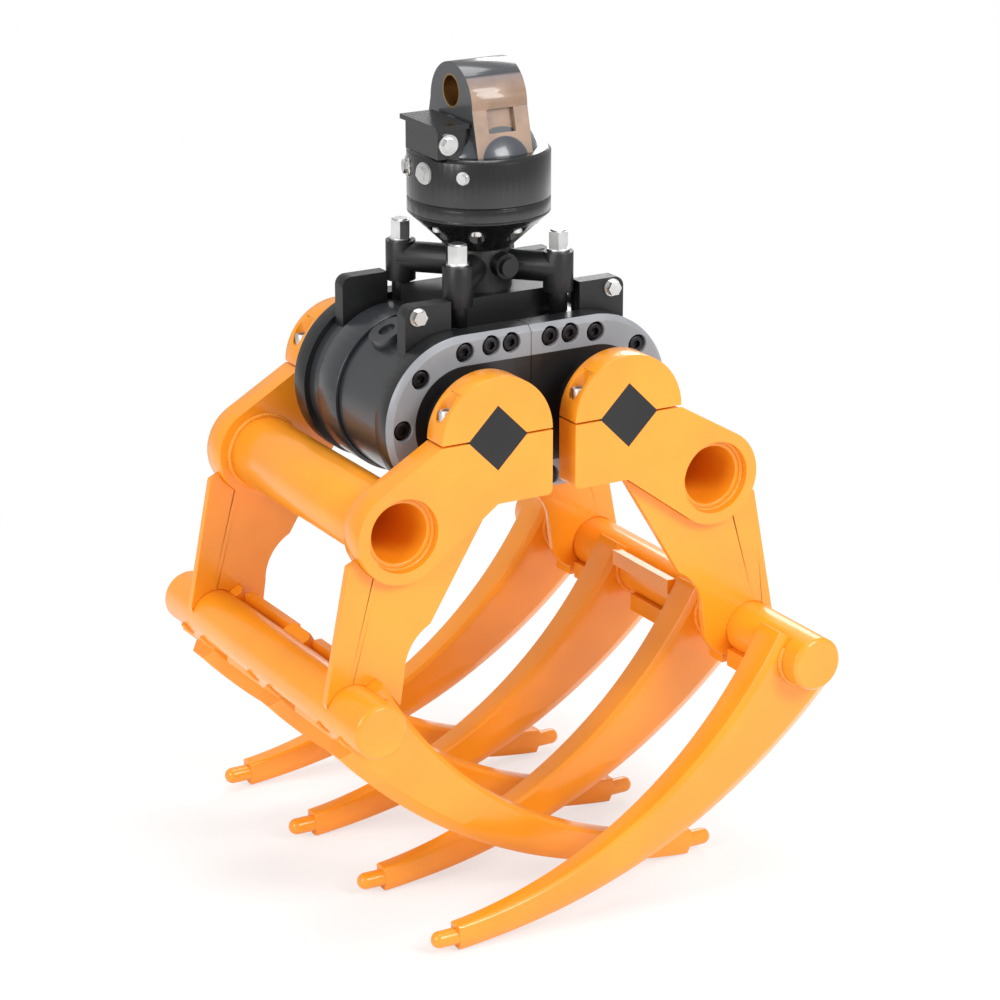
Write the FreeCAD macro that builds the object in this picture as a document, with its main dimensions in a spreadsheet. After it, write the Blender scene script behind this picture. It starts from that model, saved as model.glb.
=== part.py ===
"""Log grapple with two helical rotary actuators on a hydraulic rotator.

The model stands in its own frame: +Z up, the origin in the middle of the crane-pin bore and
the pin along X.  The claws are drawn closed.  Sizes are millimetres and live in the sheet.
Most pieces are drawn in the head frame, whose origin is midway between the two actuator
shafts; every such piece is placed "drop" below the crane pin.
"""
import FreeCAD
import Part
import math
import os
import Sketcher

from FreeCAD import Placement, Rotation, Vector

os.makedirs("parts", exist_ok=True)
doc = FreeCAD.newDocument("log_grapple")
sheet = doc.addObject("Spreadsheet::Sheet", "dim")

SIZES = [
    ("drop", 440.0, "crane pin down to the actuator shafts"),
    ("seat", 0.05, "radial clearance of a seated round fit"),
    ("run", 0.06, "radial clearance of a running fit"),
    ("gap", 0.3, "air between faces that move past each other"),
    # rotator, fixed to the crane
    ("pin_r", 22.0, "crane pin bore, radius"),
    ("bush_r", 25.0, "link bushing, outer radius"),
    ("link_half", 45.0, "half width of the crane link along the pin"),
    ("link_foot", 77.0, "half depth of the link at its foot"),
    ("link_top_r", 60.5, "radius of the link's round top"),
    ("link_eye_down", 19.0, "centre of the link's round top below the pin"),
    ("recess_half", 22.0, "half width of the arched recess in the link"),
    ("recess_low", 389.0, "bottom of the recess"),
    ("recess_high", 426.0, "centre of the recess' arch"),
    ("recess_deep", 8.0, "depth of the recess"),
    ("dome_r", 90.0, "radius of the dome under the link"),
    ("dome_up", 326.0, "height of the dome's centre"),
    ("rim_up", 356.0, "top rim of the rotator housing"),
    ("rim_r", 85.0, "inner radius of the rim"),
    ("rim_deep", 6.0, "depth of the dome's seat in the housing"),
    ("housing_r", 104.0, "rotator housing, outer radius"),
    ("housing_low", 266.5, "bottom of the housing"),
    ("groove_up", 285.0, "height of the seam groove"),
    ("groove_deep", 2.5, "depth and half height of the seam groove"),
    ("rotor_r", 56.0, "rotor shaft, radius"),
    ("rotor_up", 324.0, "top of the rotor shaft"),
    ("manifold_in", 50.0, "port block, inner face"),
    ("manifold_out", 104.0, "port block, outer face"),
    ("manifold_front", 62.0, "port block, front face"),
    ("manifold_back", 45.0, "port block, rear face"),
    ("manifold_up", 398.0, "port block, shoulder under its lid"),
    ("manifold_lid", 7.0, "thickness of the lid"),
    ("manifold_step", 6.0, "overhang of the lid"),
    ("plug_r", 15.0, "large port plug, flange radius"),
    ("plug_small_r", 8.5, "small port plug, flange radius"),
    ("plug_high", 9.0, "height of a port plug"),
    # rotating head
    ("cone_low", 211.0, "bottom of the rotor flange cone"),
    ("cone_r", 48.0, "radius of the cone at its bottom"),
    ("rotor_bolt_ring", 78.0, "radius of the rotor bolt circle"),
    ("rotor_bolt_seat", 254.0, "height of the rotor bolt seats"),
    ("rotor_bolt_turn", 13.0, "turn of the first rotor bolt"),
    ("bolt_head_r", 9.0, "rotor bolt, head radius"),
    ("bolt_head_high", 12.0, "rotor bolt, head height"),
    ("bolt_r", 6.0, "rotor bolt, shank radius"),
    ("pocket_r", 12.5, "radius of the rotor bolt pockets"),
    ("corner_x", 83.0, "head casting corner along X"),
    ("corner_y", 85.0, "head casting corner along Y"),
    ("duct_r", 22.5, "radius of the casting's radial ducts"),
    ("duct_up", 184.5, "height of the duct centres"),
    ("corner_r", 22.0, "radius of the upright corner bosses"),
    ("corner_low", 150.0, "bottom of the corner bosses"),
    ("corner_high", 209.0, "top of the corner bosses"),
    ("pillar_r", 13.5, "radius of the thin pillars under the bosses"),
    ("cap_flats", 27.0, "hex caps, across flats"),
    ("cap_high", 33.0, "hex caps, height"),
    ("saddle_x", 96.0, "half width of the casting's saddle"),
    ("saddle_y", 62.0, "half depth of the casting's saddle"),
    ("saddle_up", 150.0, "top of the saddle"),
    ("saddle_low", 52.0, "bottom of the saddle between the barrels"),
    ("gallery_x", 10.0, "offset of the gallery plug"),
    ("gallery_y", 66.0, "front of the gallery boss"),
    ("gallery_up", 190.0, "height of the gallery plug"),
    ("gallery_r", 13.5, "radius of the gallery plug"),
    ("ear_out", 180.0, "half width of the head brackets"),
    ("ear_top", 164.0, "top of the head brackets"),
    ("ear_near", 83.0, "inner face of the head brackets"),
    ("ear_thick", 24.0, "thickness of the head brackets"),
    ("ear_round", 15.0, "corner radius of the head brackets"),
    ("ear_low", 88.0, "lower outer corner of the head brackets"),
    ("ear_bolt_x", 160.0, "bracket bolt along X"),
    ("ear_bolt_up", 149.0, "bracket bolt height"),
    # actuators
    ("axis_x", 107.4, "actuator shafts, half centre distance"),
    ("barrel_r", 115.0, "barrel, outer radius"),
    ("barrel_bore", 95.0, "barrel, inner radius"),
    ("band_r", 121.0, "raised band on the barrel, radius"),
    ("band_near", 17.0, "front of the band"),
    ("band_far", 75.0, "rear of the band"),
    ("boss_turn", 62.0, "angle of the barrel port boss above the level"),
    ("boss_y", 28.0, "barrel port boss, distance in front of the middle"),
    ("port_boss_r", 28.5, "barrel port boss, radius"),
    ("port_boss_high", 13.0, "barrel port boss, height above the barrel"),
    ("flange_face", 150.0, "outer face of the end flanges"),
    ("flange_thick", 40.0, "thickness of the end flanges"),
    ("flange_r", 124.0, "end flange, outer radius"),
    ("flange_split", 0.5, "half the gap between neighbouring end flanges"),
    ("flange_bevel", 8.0, "front bevel of the end flanges"),
    ("screw_ring", 100.0, "radius of the flange screw circle"),
    ("screw_up", 104.0, "height of the screws in the straight part"),
    ("screw_x1", 32.0, "first screw in the straight part"),
    ("screw_x2", 65.0, "second screw in the straight part"),
    ("screw_head_r", 12.0, "flange screw, head radius"),
    ("screw_head_high", 15.0, "flange screw, head height"),
    ("screw_r", 7.0, "flange screw, shank radius"),
    ("screw_pocket_r", 15.0, "flange screw pockets, radius"),
    ("screw_pocket_deep", 17.0, "flange screw pockets, depth"),
    ("collar_r", 62.0, "shaft collar, outer radius"),
    ("shaft_r", 50.0, "actuator shaft, radius"),
    ("gear_r", 80.0, "fixed ring gear, inner radius"),
    ("gear_half", 30.0, "fixed ring gear, half length"),
    ("piston_long", 90.0, "piston sleeve, length"),
    ("piston_near", 75.0, "front end of the piston sleeve with the claws shut"),
    # claws
    ("arm_near", 197.6, "inner face of the clamp arms"),
    ("arm_thick", 45.0, "thickness of the clamp arms"),
    ("square_half", 47.5, "half diagonal of the square shaft end"),
    ("clamp_r", 88.6, "radius of the clamp"),
    ("clamp_split", 1.5, "half the split of the clamp"),
    ("arm_in", 18.8, "inner edge of the arm"),
    ("arm_low", 97.0, "depth of the arm under the shaft"),
    ("arm_low_out", 107.0, "outer end of the arm's level bottom"),
    ("tube_x", 257.5, "torque tube centre along X"),
    ("tube_down", 119.0, "torque tube centre below the shafts"),
    ("tube_r", 54.0, "torque tube, outer radius"),
    ("tube_bore", 43.5, "torque tube, inner radius"),
    ("tube_short", 14.0, "torque tube end behind the arm face"),
    ("eye_r", 71.0, "radius of the arm's eye round the tube"),
    ("eye_high_turn", 59.1, "angle where the arm's top meets its eye"),
    ("eye_low_turn", 233.8, "angle where the arm's bottom meets its eye"),
    ("arm_round", 6.0, "rounding of the arm's face edges"),
    ("clamp_screw_x", 70.0, "clamp screws beside the shaft"),
    ("clamp_screw_r", 11.0, "clamp screw, head radius"),
    ("clamp_head_high", 16.0, "clamp screw, head height"),
    ("clamp_shank_r", 8.0, "clamp screw, shank radius"),
    ("clamp_shank", 84.0, "clamp screw, shank length"),
    ("clamp_well_r", 14.0, "clamp screw wells, radius"),
    ("clamp_seat", 30.0, "height of the clamp screw seats"),
    ("leg_near", 214.6, "inner face of the leg plates"),
    ("leg_thick", 12.0, "thickness of the leg plates"),
    ("low_x", 334.0, "lower tube centre along X"),
    ("low_down", 371.0, "lower tube centre below the shafts"),
    ("low_r", 40.0, "lower tube, radius"),
    ("low_bevel", 4.5, "bevel of the lower tube's ends"),
    ("low_half_right", 405.0, "right lower tube, half length"),
    ("low_half_left", 316.0, "left lower tube, half length"),
    ("hang", 54.3, "tine's inner edge to the lower tube's axis"),
    ("hang_turn", 30.4, "angle of the line from the tine's centre through that axis"),
    ("arc_r", 680.9, "radius of the tine's inner edge"),
    ("tine_root_turn", 28.9, "angle of the tine's root below the level"),
    ("tine_tip_turn", 84.3, "angle of the tine's end below the level"),
    ("tine_root_right", 138.0, "right tine, depth at the root"),
    ("tine_root_left", 120.0, "left tine, depth at the root"),
    ("tine_tip", 39.0, "tine depth at the end"),
    ("tine_taper", 1.55, "power of the tine's taper"),
    ("tine_half_root", 33.0, "half thickness of the tine at the root"),
    ("tine_half_tip", 13.0, "half thickness of the tine at the end"),
    ("nub_r", 12.4, "radius of the tine's tip"),
    ("nub_turn", 2.2, "angle of the tip's centre past the tine's end"),
    ("nub_deep", 17.0, "depth of the tip's centre in the tine"),
    ("tine_outer", 336.0, "outer right tines"),
    ("tine_inner", 112.0, "inner right tines"),
    ("tine_left", 224.0, "outer left tines"),
    ("bar_notch", 34.0, "space between a bar and the tine behind it"),
    ("bar_thick", 27.0, "height of the outer bars"),
    ("bar_down", 54.0, "bottom of the outer bars below the tube's axis"),
    ("bar_half", 25.0, "half width of the outer bars"),
    ("bar_shift", 14.0, "outer bars' middle inside the tube's axis"),
    ("web_near", 37.0, "outer face of the inner bars inside the tube's axis"),
    ("web_thick", 14.0, "thickness of the inner bars"),
    ("web_up", 36.0, "top of the inner bars above the tube's axis"),
    ("web_high", 23.0, "height of the inner bars"),
]

for row, (alias, number, note) in enumerate(SIZES, start=1):
    sheet.set(f"A{row}", note)
    sheet.set(f"B{row}", str(number))
    sheet.setAlias(f"B{row}", alias)
doc.recompute()

PARTS = []
LINK_TOP = "(dim.drop - dim.link_eye_down)"


def value(expr):
    """The number that a sheet expression gives."""
    return float(sheet.evalExpression(expr))


def finish(obj, label, down=True):
    """Name a sub-part, place it and list it for writing."""
    obj.Label = label
    if down:
        obj.setExpression("Placement.Base.z", "-dim.drop")
    PARTS.append(obj)
    return obj


# ---------------------------------------------------------------- sketches and features
def new_body(name):
    return doc.addObject("PartDesign::Body", name)


def origin_plane(body, role):
    return [f for f in body.Origin.OriginFeatures if f.Role == role][0]


def new_sketch(body, name, role, offset):
    """A sketch on an origin plane of its body, shifted along the plane's normal."""
    sketch = body.newObject("Sketcher::SketchObject", name)
    sketch.AttachmentSupport = [(origin_plane(body, role), "")]
    sketch.MapMode = "FlatFace"
    sketch.setExpression("AttachmentOffset.Base.z", offset)
    return sketch


def bind(sketch, kind, *args):
    """Add a dimension whose last argument is a sheet expression."""
    expr = args[-1]
    index = sketch.addConstraint(Sketcher.Constraint(kind, *args[:-1], value(expr)))
    sketch.setExpression(f"Constraints[{index}]", expr)


def arc_centre(a, b, kind, number, turn):
    """Centre of an arc from a to b, from its radius or one coordinate of its centre."""
    middle = (a + b) * 0.5
    along = b - a
    side = Vector(-along.y, along.x, 0).normalize()
    if kind == "r":
        reach = math.sqrt(max(number ** 2 - (along.Length / 2) ** 2, 0))
        return middle + side * (reach if turn == "ccw" else -reach)
    if kind == "cx":
        return middle + side * ((number - middle.x) / side.x)
    return middle + side * ((number - middle.y) / side.y)


def draw(sketch, corners):
    """Draw a closed outline; a corner is (x, y), or (x, y, kind, size, turn) after an arc."""
    points = [Vector(value(c[0]), value(c[1]), 0) for c in corners]
    count = len(corners)
    ends = []
    for i, corner in enumerate(corners):
        a, b = points[i - 1], points[i]
        if len(corner) == 2:
            sketch.addGeometry(Part.LineSegment(a, b))
            ends.append((1, 2))
            continue
        kind, size, turn = corner[2:]
        centre = arc_centre(a, b, kind, value(size), turn)
        first, last = (a, b) if turn == "ccw" else (b, a)
        start = math.atan2(first.y - centre.y, first.x - centre.x)
        stop = math.atan2(last.y - centre.y, last.x - centre.x)
        circle = Part.Circle(centre, Vector(0, 0, 1), (a - centre).Length)
        sketch.addGeometry(Part.ArcOfCircle(circle, start, stop))
        ends.append((1, 2) if turn == "ccw" else (2, 1))
    for i, corner in enumerate(corners):
        after = (i + 1) % count
        sketch.addConstraint(Sketcher.Constraint("Coincident", i, ends[i][1], after,
                                                 ends[after][0]))
        bind(sketch, "DistanceX", -1, 1, i, ends[i][1], corner[0])
        bind(sketch, "DistanceY", -1, 1, i, ends[i][1], corner[1])
        if len(corner) > 2:
            kind, size = corner[2:4]
            if kind == "r":
                bind(sketch, "Radius", i, size)
            elif kind == "cx":
                bind(sketch, "DistanceX", -1, 1, i, 3, size)
            else:
                bind(sketch, "DistanceY", -1, 1, i, 3, size)


def draw_circle(sketch, x, y, radius):
    geo = sketch.addGeometry(Part.Circle(Vector(value(x), value(y), 0), Vector(0, 0, 1),
                                         value(radius)))
    bind(sketch, "DistanceX", -1, 1, geo, 3, x)
    bind(sketch, "DistanceY", -1, 1, geo, 3, y)
    bind(sketch, "Radius", geo, radius)


def mirrored(corners):
    """The same outline on the other side of the middle plane."""
    turned = []
    for corner in corners:
        item = [f"-({corner[0]})", corner[1]]
        if len(corner) > 2:
            kind, size, turn = corner[2:]
            size = f"-({size})" if kind == "cx" else size
            item += [kind, size, "cw" if turn == "ccw" else "ccw"]
        turned.append(tuple(item))
    return turned


def feature(body, kind, name, sketch, length):
    """A Pad, which goes to -Y from a front sketch, or a Pocket, which goes to +Y."""
    obj = body.newObject(f"PartDesign::{kind}", name)
    obj.Profile = sketch
    obj.setExpression("Length", length)
    return obj


def pad_y(body, name, near, far, corners=None, circle=None):
    """Pad an outline or a circle in XZ between two Y stations."""
    sketch = new_sketch(body, name + "_sketch", "XZ_Plane", f"-({far})")
    if corners:
        draw(sketch, corners)
    else:
        draw_circle(sketch, *circle)
    return feature(body, "Pad", name, sketch, f"({far}) - ({near})")


def pocket_y(body, name, near, far, corners=None, circles=()):
    """Cut an outline or circles in XZ between two Y stations."""
    sketch = new_sketch(body, name + "_sketch", "XZ_Plane", f"-({near})")
    if corners:
        draw(sketch, corners)
    for circle in circles:
        draw_circle(sketch, *circle)
    return feature(body, "Pocket", name, sketch, f"({far}) - ({near})")


def turned(body, name, corners, role="XZ_Plane", axis="V_Axis"):
    """Revolve an outline about an axis of its sketch."""
    sketch = new_sketch(body, name + "_sketch", role, "0")
    draw(sketch, corners)
    obj = body.newObject("PartDesign::Revolution", name)
    obj.Profile = sketch
    obj.ReferenceAxis = (sketch, [axis])
    obj.Angle = 360.0
    return obj


def round_edges(body, name, base, kind, size, keep):
    """Fillet or chamfer the edges of a feature that keep() picks."""
    doc.recompute()
    names = [f"Edge{i}" for i, edge in enumerate(base.Shape.Edges, start=1) if keep(edge)]
    obj = body.newObject(f"PartDesign::{kind}", name)
    obj.Base = (base, names)
    obj.setExpression("Radius" if kind == "Fillet" else "Size", size)
    return obj


# ---------------------------------------------------------------- simple solids
def cylinder(name, radius, length, x="0", y="0", z="0", axis="Z"):
    """A Part::Cylinder that starts at (x, y, z) and runs along +X, +Y or +Z."""
    obj = doc.addObject("Part::Cylinder", name)
    obj.setExpression("Radius", radius)
    obj.setExpression("Height", length)
    turns = {"X": Rotation(Vector(0, 1, 0), 90), "Y": Rotation(Vector(1, 0, 0), -90),
             "Z": Rotation()}
    obj.Placement = Placement(Vector(), turns[axis])
    for letter, expr in zip("xyz", (x, y, z)):
        obj.setExpression(f"Placement.Base.{letter}", expr)
    return obj


def box(name, x, y, z, long, wide, high):
    obj = doc.addObject("Part::Box", name)
    for prop, expr in zip(("Length", "Width", "Height"), (long, wide, high)):
        obj.setExpression(prop, expr)
    for letter, expr in zip("xyz", (x, y, z)):
        obj.setExpression(f"Placement.Base.{letter}", expr)
    return obj


def fuse(name, shapes):
    obj = doc.addObject("Part::MultiFuse", name)
    obj.Shapes = shapes
    obj.Refine = True
    return obj


def cut(name, base, tool):
    obj = doc.addObject("Part::Cut", name)
    obj.Base = base
    obj.Tool = tool
    return obj


def copies(label, master, places):
    """One node that holds a copy of the master's shape at each place."""
    doc.recompute()
    shapes = []
    for place in places:
        shape = master.Shape.copy()
        shape.Placement = place.multiply(shape.Placement)
        shapes.append(shape)
    obj = doc.addObject("Part::Feature", label)
    obj.Shape = Part.makeCompound(shapes)
    return finish(obj, label)


def screw(name, head_r, head_high, shank_r, shank_long):
    """A plain screw that stands on z = 0: head above, shank below."""
    head = cylinder(name + "_head", head_r, head_high)
    shank = cylinder(name + "_shank", shank_r, shank_long, z=f"-({shank_long})")
    return fuse(name, [head, shank])


# ---------------------------------------------------------------- rotator
def crane_link():
    body = new_body("crane_link")
    dome = "sqrt(dim.dome_r ^ 2 - (dim.rim_up - dim.dome_up) ^ 2)"
    turned(body, "dome", [
        ("0", "dim.rim_up - dim.rim_deep"),
        (dome, "dim.rim_up - dim.rim_deep"),
        (dome, "dim.rim_up"),
        ("0", "dim.dome_up + dim.dome_r", "r", "dim.dome_r", "ccw")])
    sketch = new_sketch(body, "link_sketch", "YZ_Plane", "-dim.link_half")
    draw(sketch, [
        ("-dim.link_foot", "dim.rim_up"),
        ("dim.link_foot", "dim.rim_up"),
        ("dim.link_top_r", LINK_TOP),
        ("-dim.link_top_r", LINK_TOP, "cy", LINK_TOP, "ccw")])
    feature(body, "Pad", "link", sketch, "2 * dim.link_half")
    eye = new_sketch(body, "eye_sketch", "YZ_Plane", "dim.link_half")
    draw_circle(eye, "0", "dim.drop", "dim.bush_r + dim.seat")
    feature(body, "Pocket", "eye", eye, "2 * dim.link_half")
    arch = new_sketch(body, "arch_sketch", "XZ_Plane", "0")
    arch.AttachmentOffset = Placement(Vector(), Rotation(Vector(1, 0, 0), 0))
    lean = f"atan((dim.link_foot - dim.link_top_r) / ({LINK_TOP} - dim.rim_up))"
    arch.setExpression("AttachmentOffset.Rotation.Angle", f"-({lean})")
    arch.setExpression("AttachmentOffset.Base.y", "dim.rim_up")
    arch.setExpression("AttachmentOffset.Base.z", "dim.link_foot")
    draw(arch, [
        ("-dim.recess_half", "dim.recess_low - dim.rim_up"),
        ("dim.recess_half", "dim.recess_low - dim.rim_up"),
        ("dim.recess_half", "dim.recess_high - dim.rim_up"),
        ("-dim.recess_half", "dim.recess_high - dim.rim_up", "cy",
         "dim.recess_high - dim.rim_up", "ccw")])
    feature(body, "Pocket", "arch", arch, "dim.recess_deep")
    finish(body, "crane_link")

    bush = new_body("link_bushing")
    ring = new_sketch(bush, "bush_sketch", "YZ_Plane", "-dim.link_half")
    draw_circle(ring, "0", "dim.drop", "dim.bush_r")
    draw_circle(ring, "0", "dim.drop", "dim.pin_r")
    feature(bush, "Pad", "bush", ring, "2 * dim.link_half")
    finish(bush, "link_bushing")


def rotator_housing():
    body = new_body("rotator_housing")
    rotor = "dim.rotor_r + dim.run"
    turned(body, "housing", [
        (rotor, "dim.housing_low"),
        ("dim.housing_r", "dim.housing_low"),
        ("dim.housing_r", "dim.groove_up - dim.groove_deep"),
        ("dim.housing_r - dim.groove_deep", "dim.groove_up"),
        ("dim.housing_r", "dim.groove_up + dim.groove_deep"),
        ("dim.housing_r", "dim.rim_up - 5"),
        ("dim.housing_r - 5", "dim.rim_up"),
        ("dim.rim_r", "dim.rim_up"),
        ("dim.rim_r", "dim.rim_up - dim.rim_deep"),
        ("0", "dim.rim_up - dim.rim_deep"),
        ("0", "dim.rotor_up + dim.gap"),
        (rotor, "dim.rotor_up + dim.gap")])
    finish(body, "rotator_housing")


def port_manifold():
    step = "dim.manifold_step"
    block = box("manifold_block", f"-dim.manifold_out + {step}",
                f"-dim.manifold_front + {step}", "dim.rim_up",
                f"dim.manifold_out - dim.manifold_in - {step}",
                f"dim.manifold_front + dim.manifold_back - 2 * {step}",
                "dim.manifold_up - dim.rim_up")
    lid = box("manifold_cover", "-dim.manifold_out", "-dim.manifold_front",
              "dim.manifold_up", "dim.manifold_out - dim.manifold_in",
              "dim.manifold_front + dim.manifold_back", "dim.manifold_lid")
    dome = doc.addObject("Part::Sphere", "manifold_dome")
    dome.setExpression("Radius", "dim.dome_r + dim.gap")
    dome.setExpression("Placement.Base.z", "dim.dome_up")
    body = cut("port_manifold", fuse("manifold_solid", [block, lid]), dome)
    finish(body, "port_manifold")


def port_plugs():
    """Flanged hex plugs round the housing and on the port block's front."""
    def plug(radius):
        high = value("dim.plug_high")
        flange = Part.makeCylinder(radius, high * 0.4)
        points = [Vector(radius * 0.7 * math.cos(i * math.pi / 3),
                         radius * 0.7 * math.sin(i * math.pi / 3), high * 0.4)
                  for i in range(7)]
        head = Part.Face(Part.makePolygon(points)).extrude(Vector(0, 0, high * 0.6))
        return flange.fuse(head).removeSplitter()

    wall = value("dim.housing_r") - 1.5
    shapes = []
    for turn, up, name in ((78, 344, "dim.plug_r"), (107, 344, "dim.plug_r"),
                           (42, 344, "dim.plug_small_r")):
        shape = plug(value(name))
        out = Vector(-math.sin(math.radians(turn)), -math.cos(math.radians(turn)), 0)
        foot = out * wall + Vector(0, 0, up - 13)
        shape.Placement = Placement(foot, Rotation(Vector(0, 0, 1), out))
        pad = Part.makeCylinder(value(name) + 1, 4, foot - out * 2.4, out)
        shapes.append(shape.fuse(pad))
    front = plug(value("dim.plug_r"))
    step = value("dim.manifold_step")
    front.Placement = Placement(Vector(-82, -value("dim.manifold_front") + step, 377),
                                Rotation(Vector(0, 0, 1), Vector(0, -1, 0)))
    shapes.append(front)
    round_wall = Part.makeCylinder(value("dim.housing_r"), 200, Vector(0, 0, 200))
    obj = doc.addObject("Part::Feature", "port_plugs")
    obj.Shape = Part.makeCompound([s.cut(round_wall) for s in shapes[:-1]] + shapes[-1:])
    finish(obj, "port_plugs")


# ---------------------------------------------------------------- rotating head
def rotor_flange():
    body = new_body("rotor_flange")
    top = "dim.housing_low - dim.gap"
    base = turned(body, "cone", [
        ("0", "dim.cone_low"),
        ("dim.cone_r", "dim.cone_low"),
        ("dim.housing_r", f"{top} - 3"),
        ("dim.housing_r", top),
        ("dim.rotor_r", top),
        ("dim.rotor_r", "dim.rotor_up"),
        ("0", "dim.rotor_up")])
    sketch = new_sketch(body, "seat_sketch", "XY_Plane", "dim.cone_low - 1")
    draw_circle(sketch, "dim.rotor_bolt_ring * cos(dim.rotor_bolt_turn)",
                "dim.rotor_bolt_ring * sin(dim.rotor_bolt_turn)", "dim.pocket_r")
    seat = feature(body, "Pocket", "seat", sketch,
                   "dim.rotor_bolt_seat - dim.cone_low + 1")
    seat.Reversed = True
    deep = new_sketch(body, "shank_sketch", "XY_Plane", "dim.cone_low - 1")
    draw_circle(deep, "dim.rotor_bolt_ring * cos(dim.rotor_bolt_turn)",
                "dim.rotor_bolt_ring * sin(dim.rotor_bolt_turn)", "dim.bolt_r + dim.seat")
    hole = feature(body, "Pocket", "shank", deep, "dim.housing_low - dim.cone_low")
    hole.Reversed = True
    doc.recompute()
    ring = body.newObject("PartDesign::PolarPattern", "seats")
    ring.Originals = [seat, hole]
    ring.Axis = (sketch, ["N_Axis"])
    z_axis = [f for f in body.Origin.OriginFeatures if f.Role == "Z_Axis"][0]
    ring.Axis = (z_axis, [""])
    ring.Angle = 360.0
    ring.Occurrences = 8
    body.Tip = ring
    finish(body, "rotor_flange")

    master = screw("rotor_screw", "dim.bolt_head_r", "dim.bolt_head_high", "dim.bolt_r", "10")
    places = []
    for i in range(8):
        turn = math.radians(value("dim.rotor_bolt_turn") + 45 * i)
        reach = value("dim.rotor_bolt_ring")
        places.append(Placement(Vector(reach * math.cos(turn), reach * math.sin(turn),
                                       value("dim.rotor_bolt_seat")),
                                Rotation(Vector(1, 0, 0), 180)))
    copies("rotor_bolts", master, places)
    return base


def head_casting():
    """Cross of round ducts on a hub, with a saddle that sits in the valley of the barrels."""
    hub = cylinder("hub", "dim.cone_r", "dim.cone_low - dim.saddle_up + 10",
                   z="dim.saddle_up - 10")
    pieces = [hub]
    reach = "sqrt(dim.corner_x ^ 2 + dim.corner_y ^ 2)"
    spots = [(sx, sy) for sx in (-1, 1) for sy in (-1, 1)]
    for i, (sx, sy) in enumerate(spots, start=1):
        duct = cylinder(f"duct{i}", "dim.duct_r", reach, z="dim.duct_up")
        out = Vector(sx * value("dim.corner_x"), sy * value("dim.corner_y"), 0)
        duct.Placement.Rotation = Rotation(Vector(0, 0, 1), out)
        boss = cylinder(f"corner{i}", "dim.corner_r", "dim.corner_high - dim.corner_low",
                        f"{sx} * dim.corner_x", f"{sy} * dim.corner_y", "dim.corner_low")
        pieces += [duct, boss]
    pieces.append(box("saddle", "-dim.saddle_x", "-dim.saddle_y", "dim.saddle_low",
                      "2 * dim.saddle_x", "2 * dim.saddle_y", "dim.saddle_up - dim.saddle_low"))
    for i, side in enumerate((-1, 1), start=1):
        pieces.append(cylinder(f"gallery{i}", "dim.gallery_r + 5", "dim.gallery_y",
                               f"{-side} * dim.gallery_x", "0" if side > 0 else "-dim.gallery_y",
                               "dim.gallery_up", axis="Y"))
    solid = fuse("casting_solid", pieces)
    barrels = [cylinder(f"valley{i}", "dim.barrel_r + dim.seat", "500",
                        f"{sx} * dim.axis_x", "-250", "0", axis="Y")
               for i, sx in enumerate((-1, 1), start=1)]
    bands = [cylinder(f"band_valley{i}", "dim.band_r + dim.seat",
                      "dim.band_far - dim.band_near + 2 * dim.gap", f"{sx} * dim.axis_x",
                      "dim.band_near - dim.gap", "0", axis="Y")
             for i, sx in enumerate((-1, 1), start=1)]
    body = cut("head_casting", solid, fuse("valleys", barrels + bands))
    finish(body, "head_casting")

    prism = doc.addObject("Part::Prism", "hex_prism")
    prism.Polygon = 6
    prism.setExpression("Circumradius", "dim.cap_flats / sqrt(3)")
    prism.setExpression("Height", "dim.cap_high - 4")
    collar = cylinder("hex_collar", "dim.cap_flats / 2 + 3", "4")
    dome = doc.addObject("Part::Cone", "hex_top")
    dome.setExpression("Radius1", "dim.cap_flats / 2")
    dome.setExpression("Radius2", "dim.cap_flats / 2 - 3")
    dome.Height = 3
    dome.setExpression("Placement.Base.z", "dim.cap_high - 4")
    prism.Placement.Base = Vector(0, 0, 1)
    master = fuse("hex_cap", [prism, collar, dome])
    tops = [Placement(Vector(sx * value("dim.corner_x"), sy * value("dim.corner_y"),
                             value("dim.corner_high")), Rotation()) for sx, sy in spots]
    copies("hex_caps", master, tops)

    pillars = []
    for i, (sx, sy) in enumerate(spots, start=1):
        pillar = cylinder(f"pillar{i}", "dim.pillar_r", "dim.corner_low - dim.barrel_r + 20",
                          f"{sx} * dim.corner_x", f"{sy} * dim.corner_y", "dim.barrel_r - 20")
        pillars.append(pillar)
    tools = [cylinder(f"pillar_barrel{i}", "dim.band_r + dim.seat", "500",
                      f"{sx} * dim.axis_x", "-250", "0", axis="Y")
             for i, sx in enumerate((-1, 1), start=1)]
    pack = cut("pillar_pack", fuse("pillar_solids", pillars), fuse("pillar_tools", tools))
    finish(pack, "port_adapters")

    plugs = []
    for i, side in enumerate((-1, 1), start=1):
        start = "dim.gallery_y" if side > 0 else "-dim.gallery_y - 8"
        plugs.append(cylinder(f"gallery_plug{i}", "dim.gallery_r", "8",
                              f"{-side} * dim.gallery_x", start, "dim.gallery_up", axis="Y"))
    pair = doc.addObject("Part::Compound", "gallery_pair")
    pair.Links = plugs
    finish(pair, "gallery_plugs")


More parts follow.
